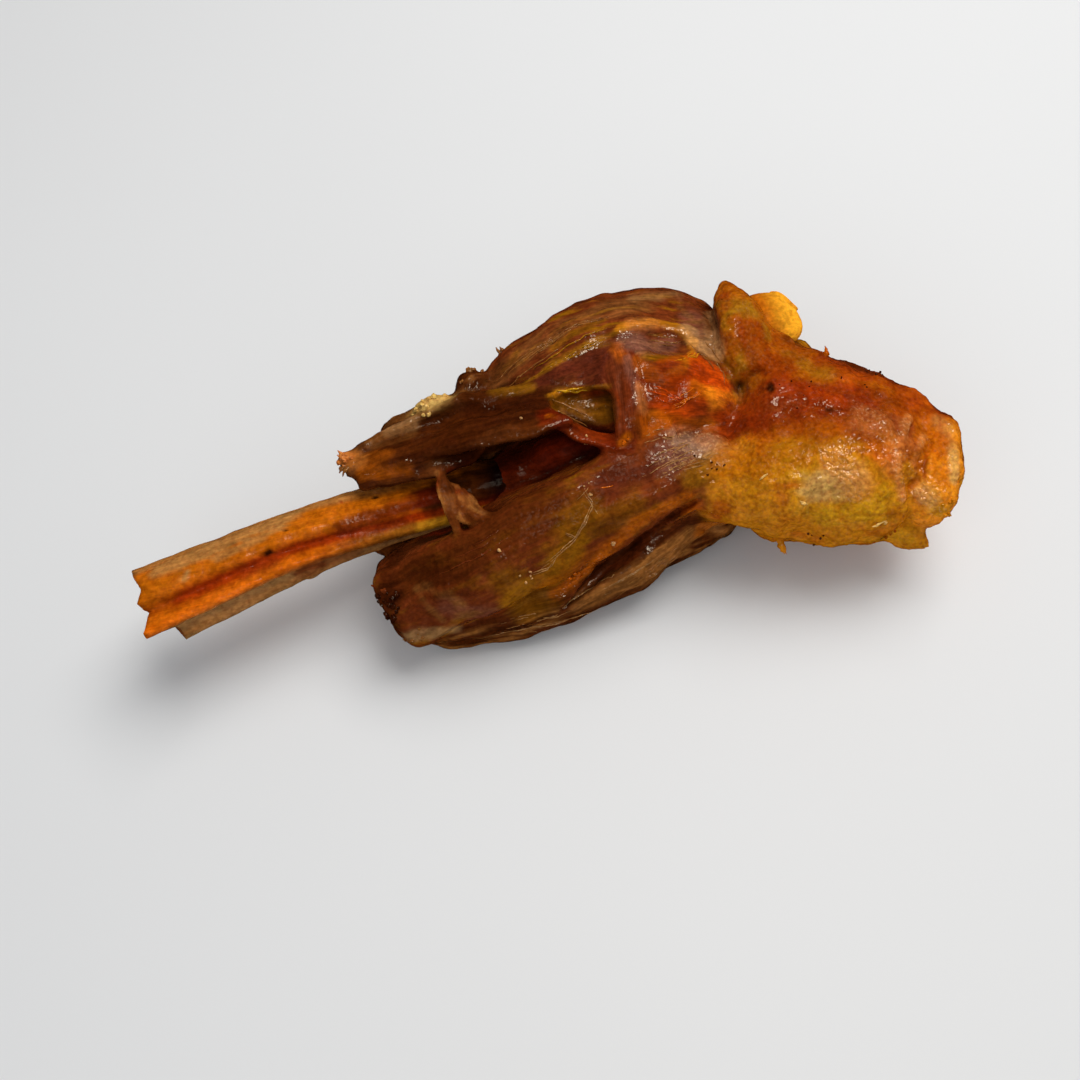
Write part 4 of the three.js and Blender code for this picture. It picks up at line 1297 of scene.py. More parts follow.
    def _finish(self, skin: Skinned, angles: np.ndarray, noise: LatticeNoise, cap_points: int) -> None:
        """Pit and paint the bone.

        Args:
            skin: The bone's skin.
            angles: Degrees round the section for each point but the two poles.
            noise: The noise.
            cap_points: How many of the first points belong to the sawn face.
        """
        points = skin.points
        angles = np.append(angles, [0.0, 0.0])
        length = points[:, 0]
        angles = angles - self._turned(length)
        drawn = np.stack([length / 14, points[:, 1] / 1.8, points[:, 2] / 1.8], 1)
        grain = noise.layered(drawn, 3, 0.6)
        waver = 0.7 * noise.layered(points / 3.5, 3) + 0.6 * grain
        lumps = noise.layered(points / 5.0 + 4.0, 3, 0.55)
        bare = smooth_step(-20.0, -60.0, length)
        height = 0.22 * grain + 0.35 * lumps
        for stroke in BONE_STROKES:
            height += stroke.lift * stroke.cover(points, waver)
        height[:cap_points] *= 0.3
        tone = np.broadcast_to(np.array(Tint.BONE_AMBER.value), points.shape).copy()
        yellow = smooth_step(-66.0, -30.0, length + 6 * waver)
        for ridge in self.ridges:
            tint = np.array(ridge.tint.value)
            share = np.clip(1.25 * ridge.strength(angles + 5 * waver), 0, 1)
            tone = blend(tone, tint, share)
        front = smooth_step(124, 132, angles) * smooth_step(164, 150, angles)
        tone = blend(tone, np.array(Tint.BONE_YELLOW.value), yellow * front * 0.85)
        lower = smooth_step(150, 162, angles) * smooth_step(350, 330, angles)
        tone = blend(tone, np.array(Tint.BONE_GREY.value), lower * (0.55 + 0.3 * grain))
        turned = (angles + 180) % 360 - 180
        far_side = smooth_step(62, 45, turned) * smooth_step(-70, -20, turned)
        tone = blend(tone, np.array(Tint.BONE_TAN.value), far_side * (0.6 + 0.3 * lumps) * bare)
        for stroke in BONE_STROKES:
            tone = blend(tone, np.array(stroke.tint.value), stroke.cover(points, waver))
        # painted shade: the bone goes nearly black from where it enters the cavity until it leaves the flesh
        buried_shade = 0.93 * smooth_step(-20.0, -8.0, length + 3 * waver) * smooth_step(74.0, 66.0, length)
        tone *= (1 - buried_shade)[:, None]
        knob = smooth_step(80.0, 90.0, length)
        tone = blend(tone, np.array(Tint.KNOB.value), knob * 0.9)
        sawn = np.zeros(len(points))
        sawn[:cap_points] = 1.0
        tone = blend(tone, np.array(Tint.MAROON.value), sawn * 0.75)
        tone *= np.clip(1 + 0.22 * grain + 0.3 * lumps, 0.4, 1.6)[:, None]
        skin.points = points + skin.normals() * height[:, None]
        skin.tone = np.clip(tone, 0.001, 1.0)
        skin.fibre = np.stack([length, points[:, 1], points[:, 2]], 1)
        oil = sum(stroke.gloss * stroke.cover(points, waver) for stroke in BONE_STROKES if stroke.gloss)
        wet = np.clip(0.3 + 0.7 * lumps + oil, 0, 1) * smooth_step(-30.0, -50.0, length)
        ones = np.ones(len(points))
        skin.feel = np.stack([ones * 0.6, ones * 0.4, wet, ones * 0.5], 1)


class MeshMaker:
    """Turns skins into Blender objects."""

    def __init__(self, place: ShankFrame) -> None:
        """Keep the frame that the meshes go into."""
        self.place = place

    def make(self, name: str, skin: Skinned, material: bpy.types.Material,
             poles: tuple[tuple[int, np.ndarray], ...] = (),
             edges: list[tuple[int, int]] | None = None) -> bpy.types.Object:
        """Build an object with the skin's colour, fibre and feel as attributes.

        Args:
            name: The object's name.
            skin: The skin in mm.
            material: Its material.
            poles: Point numbers of poles, each with the ring round it, closed by a fan.
            edges: Pairs of joined points where the skin is only a guide without faces.

        Returns:
            The new object, at the origin.
        """
        faces = [tuple(int(number) for number in quad) for quad in skin.quads]
        for pole, ring in poles:
            faces += [(int(ring[k]), int(ring[(k + 1) % len(ring)]), pole) for k in range(len(ring))]
        mesh = bpy.data.meshes.new(name)
        mesh.from_pydata(self.place.metres(skin.points).tolist(), edges or [], faces)
        mesh.shade_smooth()
        self._colour(mesh, "tone", np.column_stack([skin.tone, np.ones(len(skin.points))]))
        self._colour(mesh, "feel", skin.feel)
        fibre = mesh.attributes.new("fibre", "FLOAT_VECTOR", "POINT")
        fibre.data.foreach_set("vector", skin.fibre.astype(np.float32).ravel())
        mesh.materials.append(material)
        piece = bpy.data.objects.new(name, mesh)
        bpy.context.scene.collection.objects.link(piece)
        return piece

    @staticmethod
    def _colour(mesh: bpy.types.Mesh, name: str, rows: np.ndarray) -> None:
        """Store rows of four numbers as a colour attribute."""
        layer = mesh.attributes.new(name, "FLOAT_COLOR", "POINT")
        layer.data.foreach_set("color", rows.astype(np.float32).ravel())


# --- Node trees ---

Socket = bpy.types.NodeSocket


class Graph:
    """A node tree under construction."""

    def __init__(self, tree: bpy.types.NodeTree) -> None:
        """Keep the tree that nodes are added to."""
        self.tree = tree

    def add(self, kind: str, inputs: dict[str | int, object] | None = None,
            **settings: object) -> bpy.types.Node:
        """Add a node.

        Args:
            kind: Blender's name for the node type.
            inputs: Values or sockets for its inputs, by name or number.
            settings: Properties of the node.

        Returns:
            The new node.
        """
        node = self.tree.nodes.new(kind)
        for name, value in settings.items():
            setattr(node, name, value)
        for key, value in (inputs or {}).items():
            socket = node.inputs[key]
            if isinstance(value, Socket):
                self.tree.links.new(value, socket)
            else:
                socket.default_value = value
        return node

    def math(self, operation: str, first: object, second: object = 0.0, clamp: bool = False) -> Socket:
        """Combine two numbers."""
        settings = {"operation": operation, "use_clamp": clamp}
        return self.add("ShaderNodeMath", {0: first, 1: second}, **settings).outputs[0]

    def fit(self, value: object, low: float, high: float, to_low: float = 0.0,
            to_high: float = 1.0) -> Socket:
        """Map a number from one span to another, smoothly and clamped."""
        inputs = {0: value, 1: low, 2: high, 3: to_low, 4: to_high}
        return self.add("ShaderNodeMapRange", inputs, interpolation_type="SMOOTHSTEP").outputs[0]

    def mix(self, share: object, first: object, second: object, way: str = "MIX") -> Socket:
        """Mix two colours by a share."""
        node = self.add("ShaderNodeMix", {0: share, 6: first, 7: second}, data_type="RGBA", blend_type=way)
        return node.outputs[2]

    def scaled(self, vector: object, by: Triple) -> Socket:
        """A vector multiplied axis by axis."""
        return self.add("ShaderNodeVectorMath", {0: vector, 1: by}, operation="MULTIPLY").outputs[0]

    def noise(self, vector: object, scale: object, detail: float, roughness: float = 0.5) -> Socket:
        """Noise from 0 to 1."""
        inputs = {"Vector": vector, "Scale": scale, "Detail": detail, "Roughness": roughness}
        return self.add("ShaderNodeTexNoise", inputs).outputs["Fac"]


GroupParts = tuple[bpy.types.NodeTree, Graph, dict[str, Socket], bpy.types.Node]


class Effects:
    """Shader node groups shared by the materials."""

    def __init__(self) -> None:
        """Build each group once."""
        self.fibre = self._fibre()
        self.grain = self._grain()

    @staticmethod
    def _group(name: str, inputs: dict[str, tuple[str, object]],
               outputs: tuple[str, ...]) -> GroupParts:
        """Start a group.

        Args:
            name: The group's name.
            inputs: Socket type and default by input name.
            outputs: Names of the number outputs.

        Returns:
            The tree, its graph, its input sockets by name and its output node.
        """
        tree = bpy.data.node_groups.new(name, "ShaderNodeTree")
        for label, (kind, default) in inputs.items():
            socket = tree.interface.new_socket(label, in_out="INPUT", socket_type=kind)
            if kind == "NodeSocketFloat":
                socket.default_value = default
        for label in outputs:
            tree.interface.new_socket(label, in_out="OUTPUT", socket_type="NodeSocketFloat")
        graph = Graph(tree)
        source = graph.add("NodeGroupInput")
        return tree, graph, {label: source.outputs[label] for label in inputs}, graph.add("NodeGroupOutput")

    def _fibre(self) -> bpy.types.NodeTree:
        """Strands that run along the muscle, with a fine ripple across them."""
        tree, graph, given, out = self._group(
            "muscle fibre",
            {"Fibre": ("NodeSocketVector", None), "Ripple": ("NodeSocketFloat", 0.25)},
            ("Height", "Streak"),
        )
        strands = graph.noise(graph.scaled(given["Fibre"], (0.06, 0.7, 0.7)), 1.0, 2.0, 0.5)
        threads = graph.noise(graph.scaled(given["Fibre"], (0.12, 1.6, 1.6)), 1.0, 1.0)
        ripple = graph.noise(graph.scaled(given["Fibre"], (1.1, 0.2, 0.2)), 1.0, 1.0)
        height = graph.math("ADD", graph.math("MULTIPLY", threads, 0.6), strands)
        height = graph.math("ADD", height, graph.math("MULTIPLY", ripple, given["Ripple"]))
        tree.links.new(height, out.inputs["Height"])
        fine = graph.noise(graph.scaled(given["Fibre"], (0.15, 2.4, 2.4)), 1.0, 1.0)
        streak = graph.math("ADD", graph.math("MULTIPLY", strands, 0.6), graph.math("MULTIPLY", fine, 0.4))
        tree.links.new(graph.fit(streak, 0.33, 0.67), out.inputs["Streak"])
        return tree

    def _grain(self) -> bpy.types.NodeTree:
        """Small blisters and pores of cooked fat and oily bone."""
        tree, graph, given, out = self._group(
            "blistered grain",
            {"Point": ("NodeSocketVector", None), "Scale": ("NodeSocketFloat", 900.0)},
            ("Height", "Pores"),
        )
        inputs = {"Vector": given["Point"], "Scale": given["Scale"]}
        beads = graph.add("ShaderNodeTexVoronoi", inputs, feature="SMOOTH_F1").outputs["Distance"]
        fine = graph.noise(given["Point"], given["Scale"], 1.0, 0.45)
        height = graph.math("SUBTRACT", fine, graph.math("MULTIPLY", beads, 0.5))
        tree.links.new(height, out.inputs["Height"])
        tree.links.new(graph.fit(fine, 0.35, 0.65), out.inputs["Pores"])
        return tree


@dataclass(frozen=True)
class Surface:
    """A painted, oily surface: the colour comes from the skin's own attributes.

    Attributes:
        name: The material's name.
        rough: Roughness where wet and where dry.
        bump: Depth of the fine relief, m.
        bump_strength: Share of the bump that shows.
        fibre_share: How much of the bump comes from strands where there is no fat.
        grain_scale: Blisters per metre.
        specular: Specular level.
        coat: Strength of the oily film.
        ripple: Strength of the ripple across the strands.
        crisp_and_glint: How pale the tips of the blisters are, 0 to 1: crisp fat, and partly painted glints
            where the skin crinkles.
    """

    name: str
    rough: Pair
    bump: float
    bump_strength: float
    fibre_share: float
    grain_scale: float
    specular: float
    coat: float
    ripple: float
    crisp_and_glint: float = 0.0

    def build(self, effects: Effects) -> bpy.types.Material:
        """Make the material.

        Args:
            effects: The shared node groups.

        Returns:
            The new material.
        """
        material = bpy.data.materials.new(self.name)
        material.use_nodes = True
        graph = Graph(material.node_tree)
        shader = material.node_tree.nodes["Principled BSDF"]
        tone = graph.add("ShaderNodeAttribute", attribute_name="tone").outputs["Color"]
        feel = graph.add("ShaderNodeAttribute", attribute_name="feel")
        fibre = graph.add("ShaderNodeAttribute", attribute_name="fibre").outputs["Vector"]
        point = graph.add("ShaderNodeTexCoord").outputs["Object"]
        crinkle = feel.outputs["Alpha"]
        parts = graph.add("ShaderNodeSeparateColor", {0: feel.outputs["Color"]})
        fatty, fibrous, wet = parts.outputs[0], parts.outputs[1], parts.outputs[2]
        inputs = {"Fibre": fibre, "Ripple": self.ripple}
        strand = graph.add("ShaderNodeGroup", inputs, node_tree=effects.fibre)
        inputs = {"Point": point, "Scale": self.grain_scale}
        grain = graph.add("ShaderNodeGroup", inputs, node_tree=effects.grain)
        # colour: the skin's own tone with fine streaks, mottle, pores, speckle and pale blister tips that are
        # partly crisp fat and partly painted glints
        mottle = graph.noise(point, 300.0, 3.0, 0.5)
        lean = graph.math("SUBTRACT", 1.0, fatty, clamp=True)
        streak = graph.math("MULTIPLY", graph.math("SUBTRACT", strand.outputs["Streak"], 0.5), lean)
        mottled = graph.fit(mottle, 0.3, 0.7, 0.87, 1.13)
        change = graph.math("ADD", graph.math("MULTIPLY", streak, 0.7), mottled)
        pores = graph.fit(grain.outputs["Pores"], 0.0, 1.0, 0.88, 1.1)
        change = graph.math("MULTIPLY", change, pores)
        speckle = graph.math("MULTIPLY", graph.math("SUBTRACT", graph.noise(point, 800.0, 2.0), 0.5), fatty)
        change = graph.math("ADD", change, graph.math("MULTIPLY", speckle, 0.8))
        green = graph.math("ADD", change, graph.math("MULTIPLY", speckle, 0.6))
        shade = graph.add("ShaderNodeCombineColor", {0: change, 1: green, 2: green}).outputs[0]
        colour = graph.mix(1.0, tone, shade, "MULTIPLY")
        # pale tips where the skin crinkles: crisp fat, partly painted glints
        crisp_and_glint = graph.math("MULTIPLY", graph.fit(crinkle, 0.5, 0.9), self.crisp_and_glint)
        tips = graph.math("MULTIPLY", graph.fit(graph.noise(point, 1100.0, 1.0), 0.54, 0.66), crisp_and_glint)
        colour = graph.mix(tips, colour, Tint.CRISP_AND_GLINT.colour())
        graph.tree.links.new(colour, shader.inputs["Base Color"])
        # oil: smoother and coated where the skin is wet
        wetness = graph.math("MULTIPLY", wet, 0.6)
        dryness = graph.math("SUBTRACT", graph.fit(mottle, 0.35, 0.7), wetness, clamp=True)
        rough = graph.math("MULTIPLY", dryness, self.rough[1] - self.rough[0])
        graph.tree.links.new(graph.math("ADD", rough, self.rough[0]), shader.inputs["Roughness"])
        graph.tree.links.new(graph.math("MULTIPLY", wet, self.coat), shader.inputs["Coat Weight"])
        # fine relief: strands on bare muscle, blisters elsewhere
        share = graph.math("MULTIPLY", graph.math("MULTIPLY", fibrous, lean), self.fibre_share)
        height = graph.math("MULTIPLY", strand.outputs["Height"], share)
        bare = graph.math("SUBTRACT", 1.0, graph.math("MULTIPLY", share, 0.45))
        blisters = graph.math("MULTIPLY", grain.outputs["Height"], bare)
        inputs = {"Height": graph.math("ADD", height, blisters), "Distance": self.bump,
                  "Strength": graph.math("MULTIPLY", crinkle, self.bump_strength)}
        graph.tree.links.new(graph.add("ShaderNodeBump", inputs).outputs[0], shader.inputs["Normal"])
        specular = graph.fit(wet, 0.0, 0.8, 0.02, self.specular)
        graph.tree.links.new(specular, shader.inputs["Specular IOR Level"])
        shader.inputs["Coat Roughness"].default_value = 0.16
        return material


ROAST_FLESH = Surface(
    name="roast flesh", rough=(0.12, 0.26), bump=0.0007, bump_strength=1.0, fibre_share=0.6,
    grain_scale=760.0, specular=0.48, coat=0.06, ripple=0.3, crisp_and_glint=0.3,
)
OILY_BONE = Surface(
    name="oily bone", rough=(0.16, 0.32), bump=0.0003, bump_strength=1.0, fibre_share=0.3,
    grain_scale=700.0, specular=0.35, coat=0.06, ripple=0.0,
)


# --- Loose detail: sinews, torn fibres and crumbs ---


@dataclass(frozen=True)
class Thread:
    """A bundle of fine sinews or torn fibres, in mm.

    Attributes:
        path: The places that it passes through.
        girth: Radius of one strand.
        tint: Its colour.
        copies: How many strands lie side by side.
        spread: How far they stray from the path.
        snug: Whether they lie on the flesh, or else hang free.
    """

    path: tuple[Triple, ...]
    girth: float
    tint: Tint
    copies: int = 1
    spread: float = 0.0
    snug: bool = True


@dataclass(frozen=True)
class Cluster:
    """Crumbs scattered on the flesh round a place, in mm."""

    at: Triple
    spread: float
    count: int
    size: float
    tint: Tint


# Rows of path, girth, tint and, where they have them, copies, spread and snug.
THREADS = tuple(Thread(*row) for row in (
    # membrane torn over the middle of the shin, and its short branches
    (((14, 7, 44), (15, 1.5, 44.7), (16.6, -3, 43.5), (14, -6.5, 42), (10.3, -9.5, 38.6),
     (4.6, -12.6, 36.4), (-1.8, -14.8, 33.9)), 0.2, Tint.SINEW, 3, 0.4),
    (((19.3, 4.5, 44.9), (16.4, 1.2, 44.7), (13, -1, 44)), 0.16, Tint.SINEW, 2, 0.5),
    (((16.6, -3, 43.5), (18.2, -6.8, 42.3)), 0.15, Tint.SINEW, 2, 0.4),
    (((10.3, -9.5, 38.6), (7.2, -8.3, 41)), 0.15, Tint.SINEW, 2, 0.4),
    (((4.6, -12.6, 36.4), (0.8, -15.4, 32.3), (-6, -16, 32)), 0.17, Tint.SINEW, 2, 0.6),
    (((20, 1.2, 44.6), (24, 1.6, 44.5)), 0.35, Tint.ORANGE),
    # pale fibre over the shin's head
    (((32, 14, 41), (41, 14.4, 42), (48.7, 15.9, 41.5)), 0.16, Tint.SINEW, 4, 1.1),
    (((35.5, 6.7, 44.3), (43.3, 9, 44.1), (50, 12, 42)), 0.15, Tint.SINEW, 7, 1.6),
    (((34.6, 2.8, 44.3), (46.2, 6.3, 43.5), (55.3, 7.8, 43)), 0.15, Tint.SINEW, 7, 1.6),
    (((41.8, 2.8, 44.1), (53, 4.1, 43)), 0.15, Tint.SINEW, 3, 1),
    # thin pale lines along the muscle below the split, and over the shin's ragged end
    (((-24, -24, 13), (0.7, -22.6, 11.3), (8.6, -21.7, 12.8), (18, -21, 12.5)), 0.18, Tint.SINEW, 6, 1.8),
    (((20, -20.5, 14), (38.2, -14.1, 19.5), (49.3, -8.8, 20.4)), 0.2, Tint.TAN, 6, 1.6),
    (((12, -19, 17), (26.6, -15.9, 20.2), (36, -12.5, 22)), 0.16, Tint.SINEW, 4, 1.2),
    (((-30, -9, 34), (-16, -8, 38), (-4, -4, 41)), 0.18, Tint.MAROON, 4, 2),
    # lines along the calf, strings over the pocket and the glazed red fibre
    (((6, 41, 47.5), (26, 46.3, 51.2), (40, 49, 53.5)), 0.25, Tint.OLIVE_GOLD, 4, 1.2),
    (((-2, 47, 43), (14, 52, 48), (34, 57, 51)), 0.25, Tint.TAN, 6, 2.4),
    (((41, 45.5, 50), (48, 44.5, 48.5), (55, 42.5, 48)), 0.14, Tint.TAN, 7, 1.2),
    (((12, 31.5, 48.8), (18, 28, 47), (23.5, 23, 45.5)), 0.3, Tint.TAN, 2, 0.9, False),
    (((10.5, 27.5, 51), (16, 25, 48), (20, 21, 48.5)), 0.3, Tint.TAN, 2, 0.6, False),
    (((12, 33, 49.5), (18, 33.8, 48.6), (25, 33.4, 48.2)), 0.4, Tint.OLIVE_FAT, 2, 0.4),
    (((38, 27, 50.5), (43, 25, 50), (49, 21, 48.5)), 0.22, Tint.RED_GLAZE, 4, 1.8),
    (((42, 19.5, 47), (50, 21, 48), (58, 25, 48)), 0.2, Tint.ORANGE, 5, 1.8),
    (((50, 33, 51), (56, 35, 49.8), (60, 40, 48)), 0.3, Tint.HONEY, 3, 0.8),
    (((56, 46, 49), (61, 38, 47), (63.5, 28, 46)), 0.16, Tint.TAN, 5, 1.6),
    # frayed tip of the flap, curl below the web, ragged end of the shin, spikes and a hanging scrap
    (((-50, 29, 43.5), (-53, 30, 44), (-54, 31, 44.5)), 0.9, Tint.PINK_SKIN, 3, 0.6, False),
    (((-50, 28, 43), (-52.6, 27, 42.5), (-53.4, 26, 41.5)), 0.8, Tint.TAN, 3, 0.6, False),
    (((-48, 25, 42), (-50.6, 23.5, 41.4)), 0.6, Tint.UMBER, 3, 0.6, False),
    (((-22, 1, 38), (-22.6, -1, 38.6), (-21.4, -2.4, 37.6)), 0.3, Tint.SINEW, 2, 0.4, False),
    (((-25, 15, 41), (-24, 8, 40), (-22.5, 2, 38.6)), 0.25, Tint.SINEW, 3, 0.6, False),
    (((-45, -8, 26), (-48.5, -8, 27), (-49.6, -7.4, 27.5)), 1, Tint.MAROON, 4, 1.8, False),
    (((-41, -20, 16), (-44, -21.4, 16.5)), 0.9, Tint.OLIVE_GOLD, 4, 1.4, False),
    (((0, 57, 37), (0.4, 59.5, 38), (-0.6, 61, 39)), 0.6, Tint.TAN, 2, 0.4, False),
    (((94, 28.5, 42.5), (95, 31, 43.5), (94.4, 32.8, 44)), 0.8, Tint.ORANGE, 3, 0.7, False),
    (((71, -14.5, 22), (71, -18, 20), (71.5, -20, 18.6)), 1.1, Tint.HONEY, 2, 0.6, False),
    (((64.7, -6.4, 44), (67.4, -5.5, 45.1)), 0.4, Tint.CREAM),
    (((74.9, -13.8, 41.2), (79, -15, 37.6)), 0.45, Tint.CREAM, 2, 0.5),
    (((94.9, -23, 33.4), (99, -22, 33.7)), 0.4, Tint.CREAM, 3, 1),
))

CLUSTERS = tuple(Cluster(*row) for row in (
    ((20.5, -11.3, 33.4), 0.4, 2, 0.65, Tint.CRUMB),
    ((-12, -10.1, 40.9), 0.3, 2, 0.55, Tint.CRUMB),
    ((2, 25.9, 51.1), 0.3, 2, 0.6, Tint.CRUMB),
    ((16.8, 1.1, 44.7), 2, 5, 0.35, Tint.CRUMB),
    ((19.3, 16.1, 47), 1.5, 3, 0.45, Tint.CRUMB),
    ((29.9, 13.2, 46.9), 1, 3, 0.5, Tint.ORANGE),
    ((-5, -15.8, 32.6), 2.5, 5, 0.4, Tint.CRUMB),
    ((8, -15, 23), 2, 7, 0.6, Tint.ORANGE),
    ((-26, 41, 46), 4, 16, 0.85, Tint.CREAM),
    ((-10, 51, 41), 3, 8, 0.8, Tint.TAN),
    ((-47.5, -12, 24), 5, 18, 0.8, Tint.DARK_UMBER),
    ((-42, -20, 18), 3.5, 7, 0.5, Tint.TAN),
    ((80, -20, 25), 4, 5, 0.35, Tint.UMBER),
    ((100, -23, 24), 4, 9, 0.5, Tint.AMBER),
    ((-53, 29, 44), 1.6, 8, 0.7, Tint.PINK_SKIN),
    ((116, -21, 34), 2.6, 7, 0.75, Tint.HONEY),
    ((80, 18, 49), 6, 6, 0.25, Tint.SOOT),
    ((53, 3, 41), 4, 8, 0.3, Tint.UMBER),
    ((108, 21, 43), 7, 12, 0.35, Tint.DARK_UMBER),
))


class Trees:
    """Geometry node trees that turn guides into plain meshes."""

    def __init__(self, seed: int) -> None:
        """Build both trees."""
        self.seed = seed
        self.threads = self._threads()
        self.crumbs = self._crumbs()

    @staticmethod
    def _start(name: str, numbers: dict[str, float]) -> tuple[bpy.types.NodeTree, Graph, bpy.types.Node]:
        """Start a tree.

        Args:
            name: The tree's name.
            numbers: Defaults of its number inputs by name.

        Returns:
            The tree, its graph and its input node.
        """
        tree = bpy.data.node_groups.new(name, "GeometryNodeTree")
        tree.interface.new_socket("Guides", in_out="INPUT", socket_type="NodeSocketGeometry")
        for label, value in numbers.items():
            socket = tree.interface.new_socket(label, in_out="INPUT", socket_type="NodeSocketFloat")
            socket.default_value = value
        tree.interface.new_socket("Material", in_out="INPUT", socket_type="NodeSocketMaterial")
        tree.interface.new_socket("Mesh", in_out="OUTPUT", socket_type="NodeSocketGeometry")
        graph = Graph(tree)
        return tree, graph, graph.add("NodeGroupInput")

    @staticmethod
    def _end(graph: Graph, shape: Socket, material: Socket) -> None:
        """Realize the shape, give it its material and output it."""
        plain = graph.add("GeometryNodeRealizeInstances", {"Geometry": shape}).outputs[0]
        dressed = graph.add("GeometryNodeSetMaterial", {"Geometry": plain, "Material": material}).outputs[0]
        graph.tree.links.new(dressed, graph.add("NodeGroupOutput").inputs[0])

    @staticmethod
    def _sway(graph: Graph, scale: object, amount: object) -> Socket:
        """A smooth wandering offset."""
        place = graph.add("GeometryNodeInputPosition").outputs[0]
        inputs = {"Vector": place, "Scale": scale, "Detail": 2.0}
        noise = graph.add("ShaderNodeTexNoise", inputs).outputs["Color"]
        inputs = {0: noise, 1: (0.5, 0.5, 0.5)}
        centred = graph.add("ShaderNodeVectorMath", inputs, operation="SUBTRACT").outputs[0]
        return graph.add("ShaderNodeVectorMath", {0: centred, "Scale": amount}, operation="SCALE").outputs[0]

    @staticmethod
    def _named(graph: Graph, name: str) -> Socket:
        """A number stored on the guides."""
        return graph.add("GeometryNodeInputNamedAttribute", {"Name": name}, data_type="FLOAT").outputs[0]

    def _threads(self) -> bpy.types.NodeTree:
        """Wavering strands that thin out to both ends."""
        tree, graph, given = self._start("strands", {"Spacing": 0.0004, "Waver": 0.0012, "Waves": 260.0})
        curve = graph.add("GeometryNodeMeshToCurve", {0: given.outputs["Guides"]}).outputs[0]
        inputs = {"Curve": curve, "Length": given.outputs["Spacing"]}
        curve = graph.add("GeometryNodeResampleCurve", inputs, mode="LENGTH").outputs[0]
        sway = self._sway(graph, given.outputs["Waves"], given.outputs["Waver"])
        curve = graph.add("GeometryNodeSetPosition", {"Geometry": curve, "Offset": sway}).outputs[0]
        along = graph.add("GeometryNodeSplineParameter").outputs["Factor"]
        to_end = graph.math("MINIMUM", along, graph.math("SUBTRACT", 1.0, along))
        uneven = graph.noise(graph.add("GeometryNodeInputPosition").outputs[0], 900.0, 1.0)
        girth = graph.math("MULTIPLY", self._named(graph, "girth"), graph.fit(to_end, 0.0, 0.3, 0.2, 1.0))
        girth = graph.math("MULTIPLY", girth, graph.fit(uneven, 0.3, 0.7, 0.6, 1.3))
        ring = graph.add("GeometryNodeCurvePrimitiveCircle", {"Resolution": 6, "Radius": 1.0}).outputs[0]
        inputs = {"Curve": curve, "Profile Curve": ring, "Scale": girth, "Fill Caps": True}
        shape = graph.add("GeometryNodeCurveToMesh", inputs).outputs[0]
        shape = graph.add("GeometryNodeSetShadeSmooth", {"Geometry": shape}).outputs[0]
        self._end(graph, shape, given.outputs["Material"])
        return tree

    def _crumbs(self) -> bpy.types.NodeTree:
        """Lumpy crumbs, each turned and stretched its own way."""
        tree, graph, given = self._start("crumbs", {"Lumps": 1.9, "Roughness": 1.5})
        ball = graph.add("GeometryNodeMeshIcoSphere", {"Radius": 1.0, "Subdivisions": 3}).outputs["Mesh"]
        sway = self._sway(graph, given.outputs["Lumps"], given.outputs["Roughness"])
        ball = graph.add("GeometryNodeSetPosition", {"Geometry": ball, "Offset": sway}).outputs[0]
        ball = graph.add("GeometryNodeSetShadeSmooth", {"Geometry": ball}).outputs[0]
        points = graph.add("GeometryNodeMeshToPoints", {"Mesh": given.outputs["Guides"]}).outputs[0]
        inputs = {0: (0.0, 0.0, 0.0), 1: (6.28, 6.28, 6.28), "Seed": self.seed}
        turn = graph.add("FunctionNodeRandomValue", inputs, data_type="FLOAT_VECTOR").outputs[0]
        inputs = {0: (0.6, 0.6, 0.5), 1: (1.3, 1.2, 0.9), "Seed": self.seed + 1}
        stretch = graph.add("FunctionNodeRandomValue", inputs, data_type="FLOAT_VECTOR").outputs[0]
        inputs = {0: stretch, "Scale": self._named(graph, "girth")}
        size = graph.add("ShaderNodeVectorMath", inputs, operation="SCALE").outputs[0]
        inputs = {"Points": points, "Instance": ball, "Rotation": turn, "Scale": size}
        shape = graph.add("GeometryNodeInstanceOnPoints", inputs).outputs[0]
        self._end(graph, shape, given.outputs["Material"])
        return tree


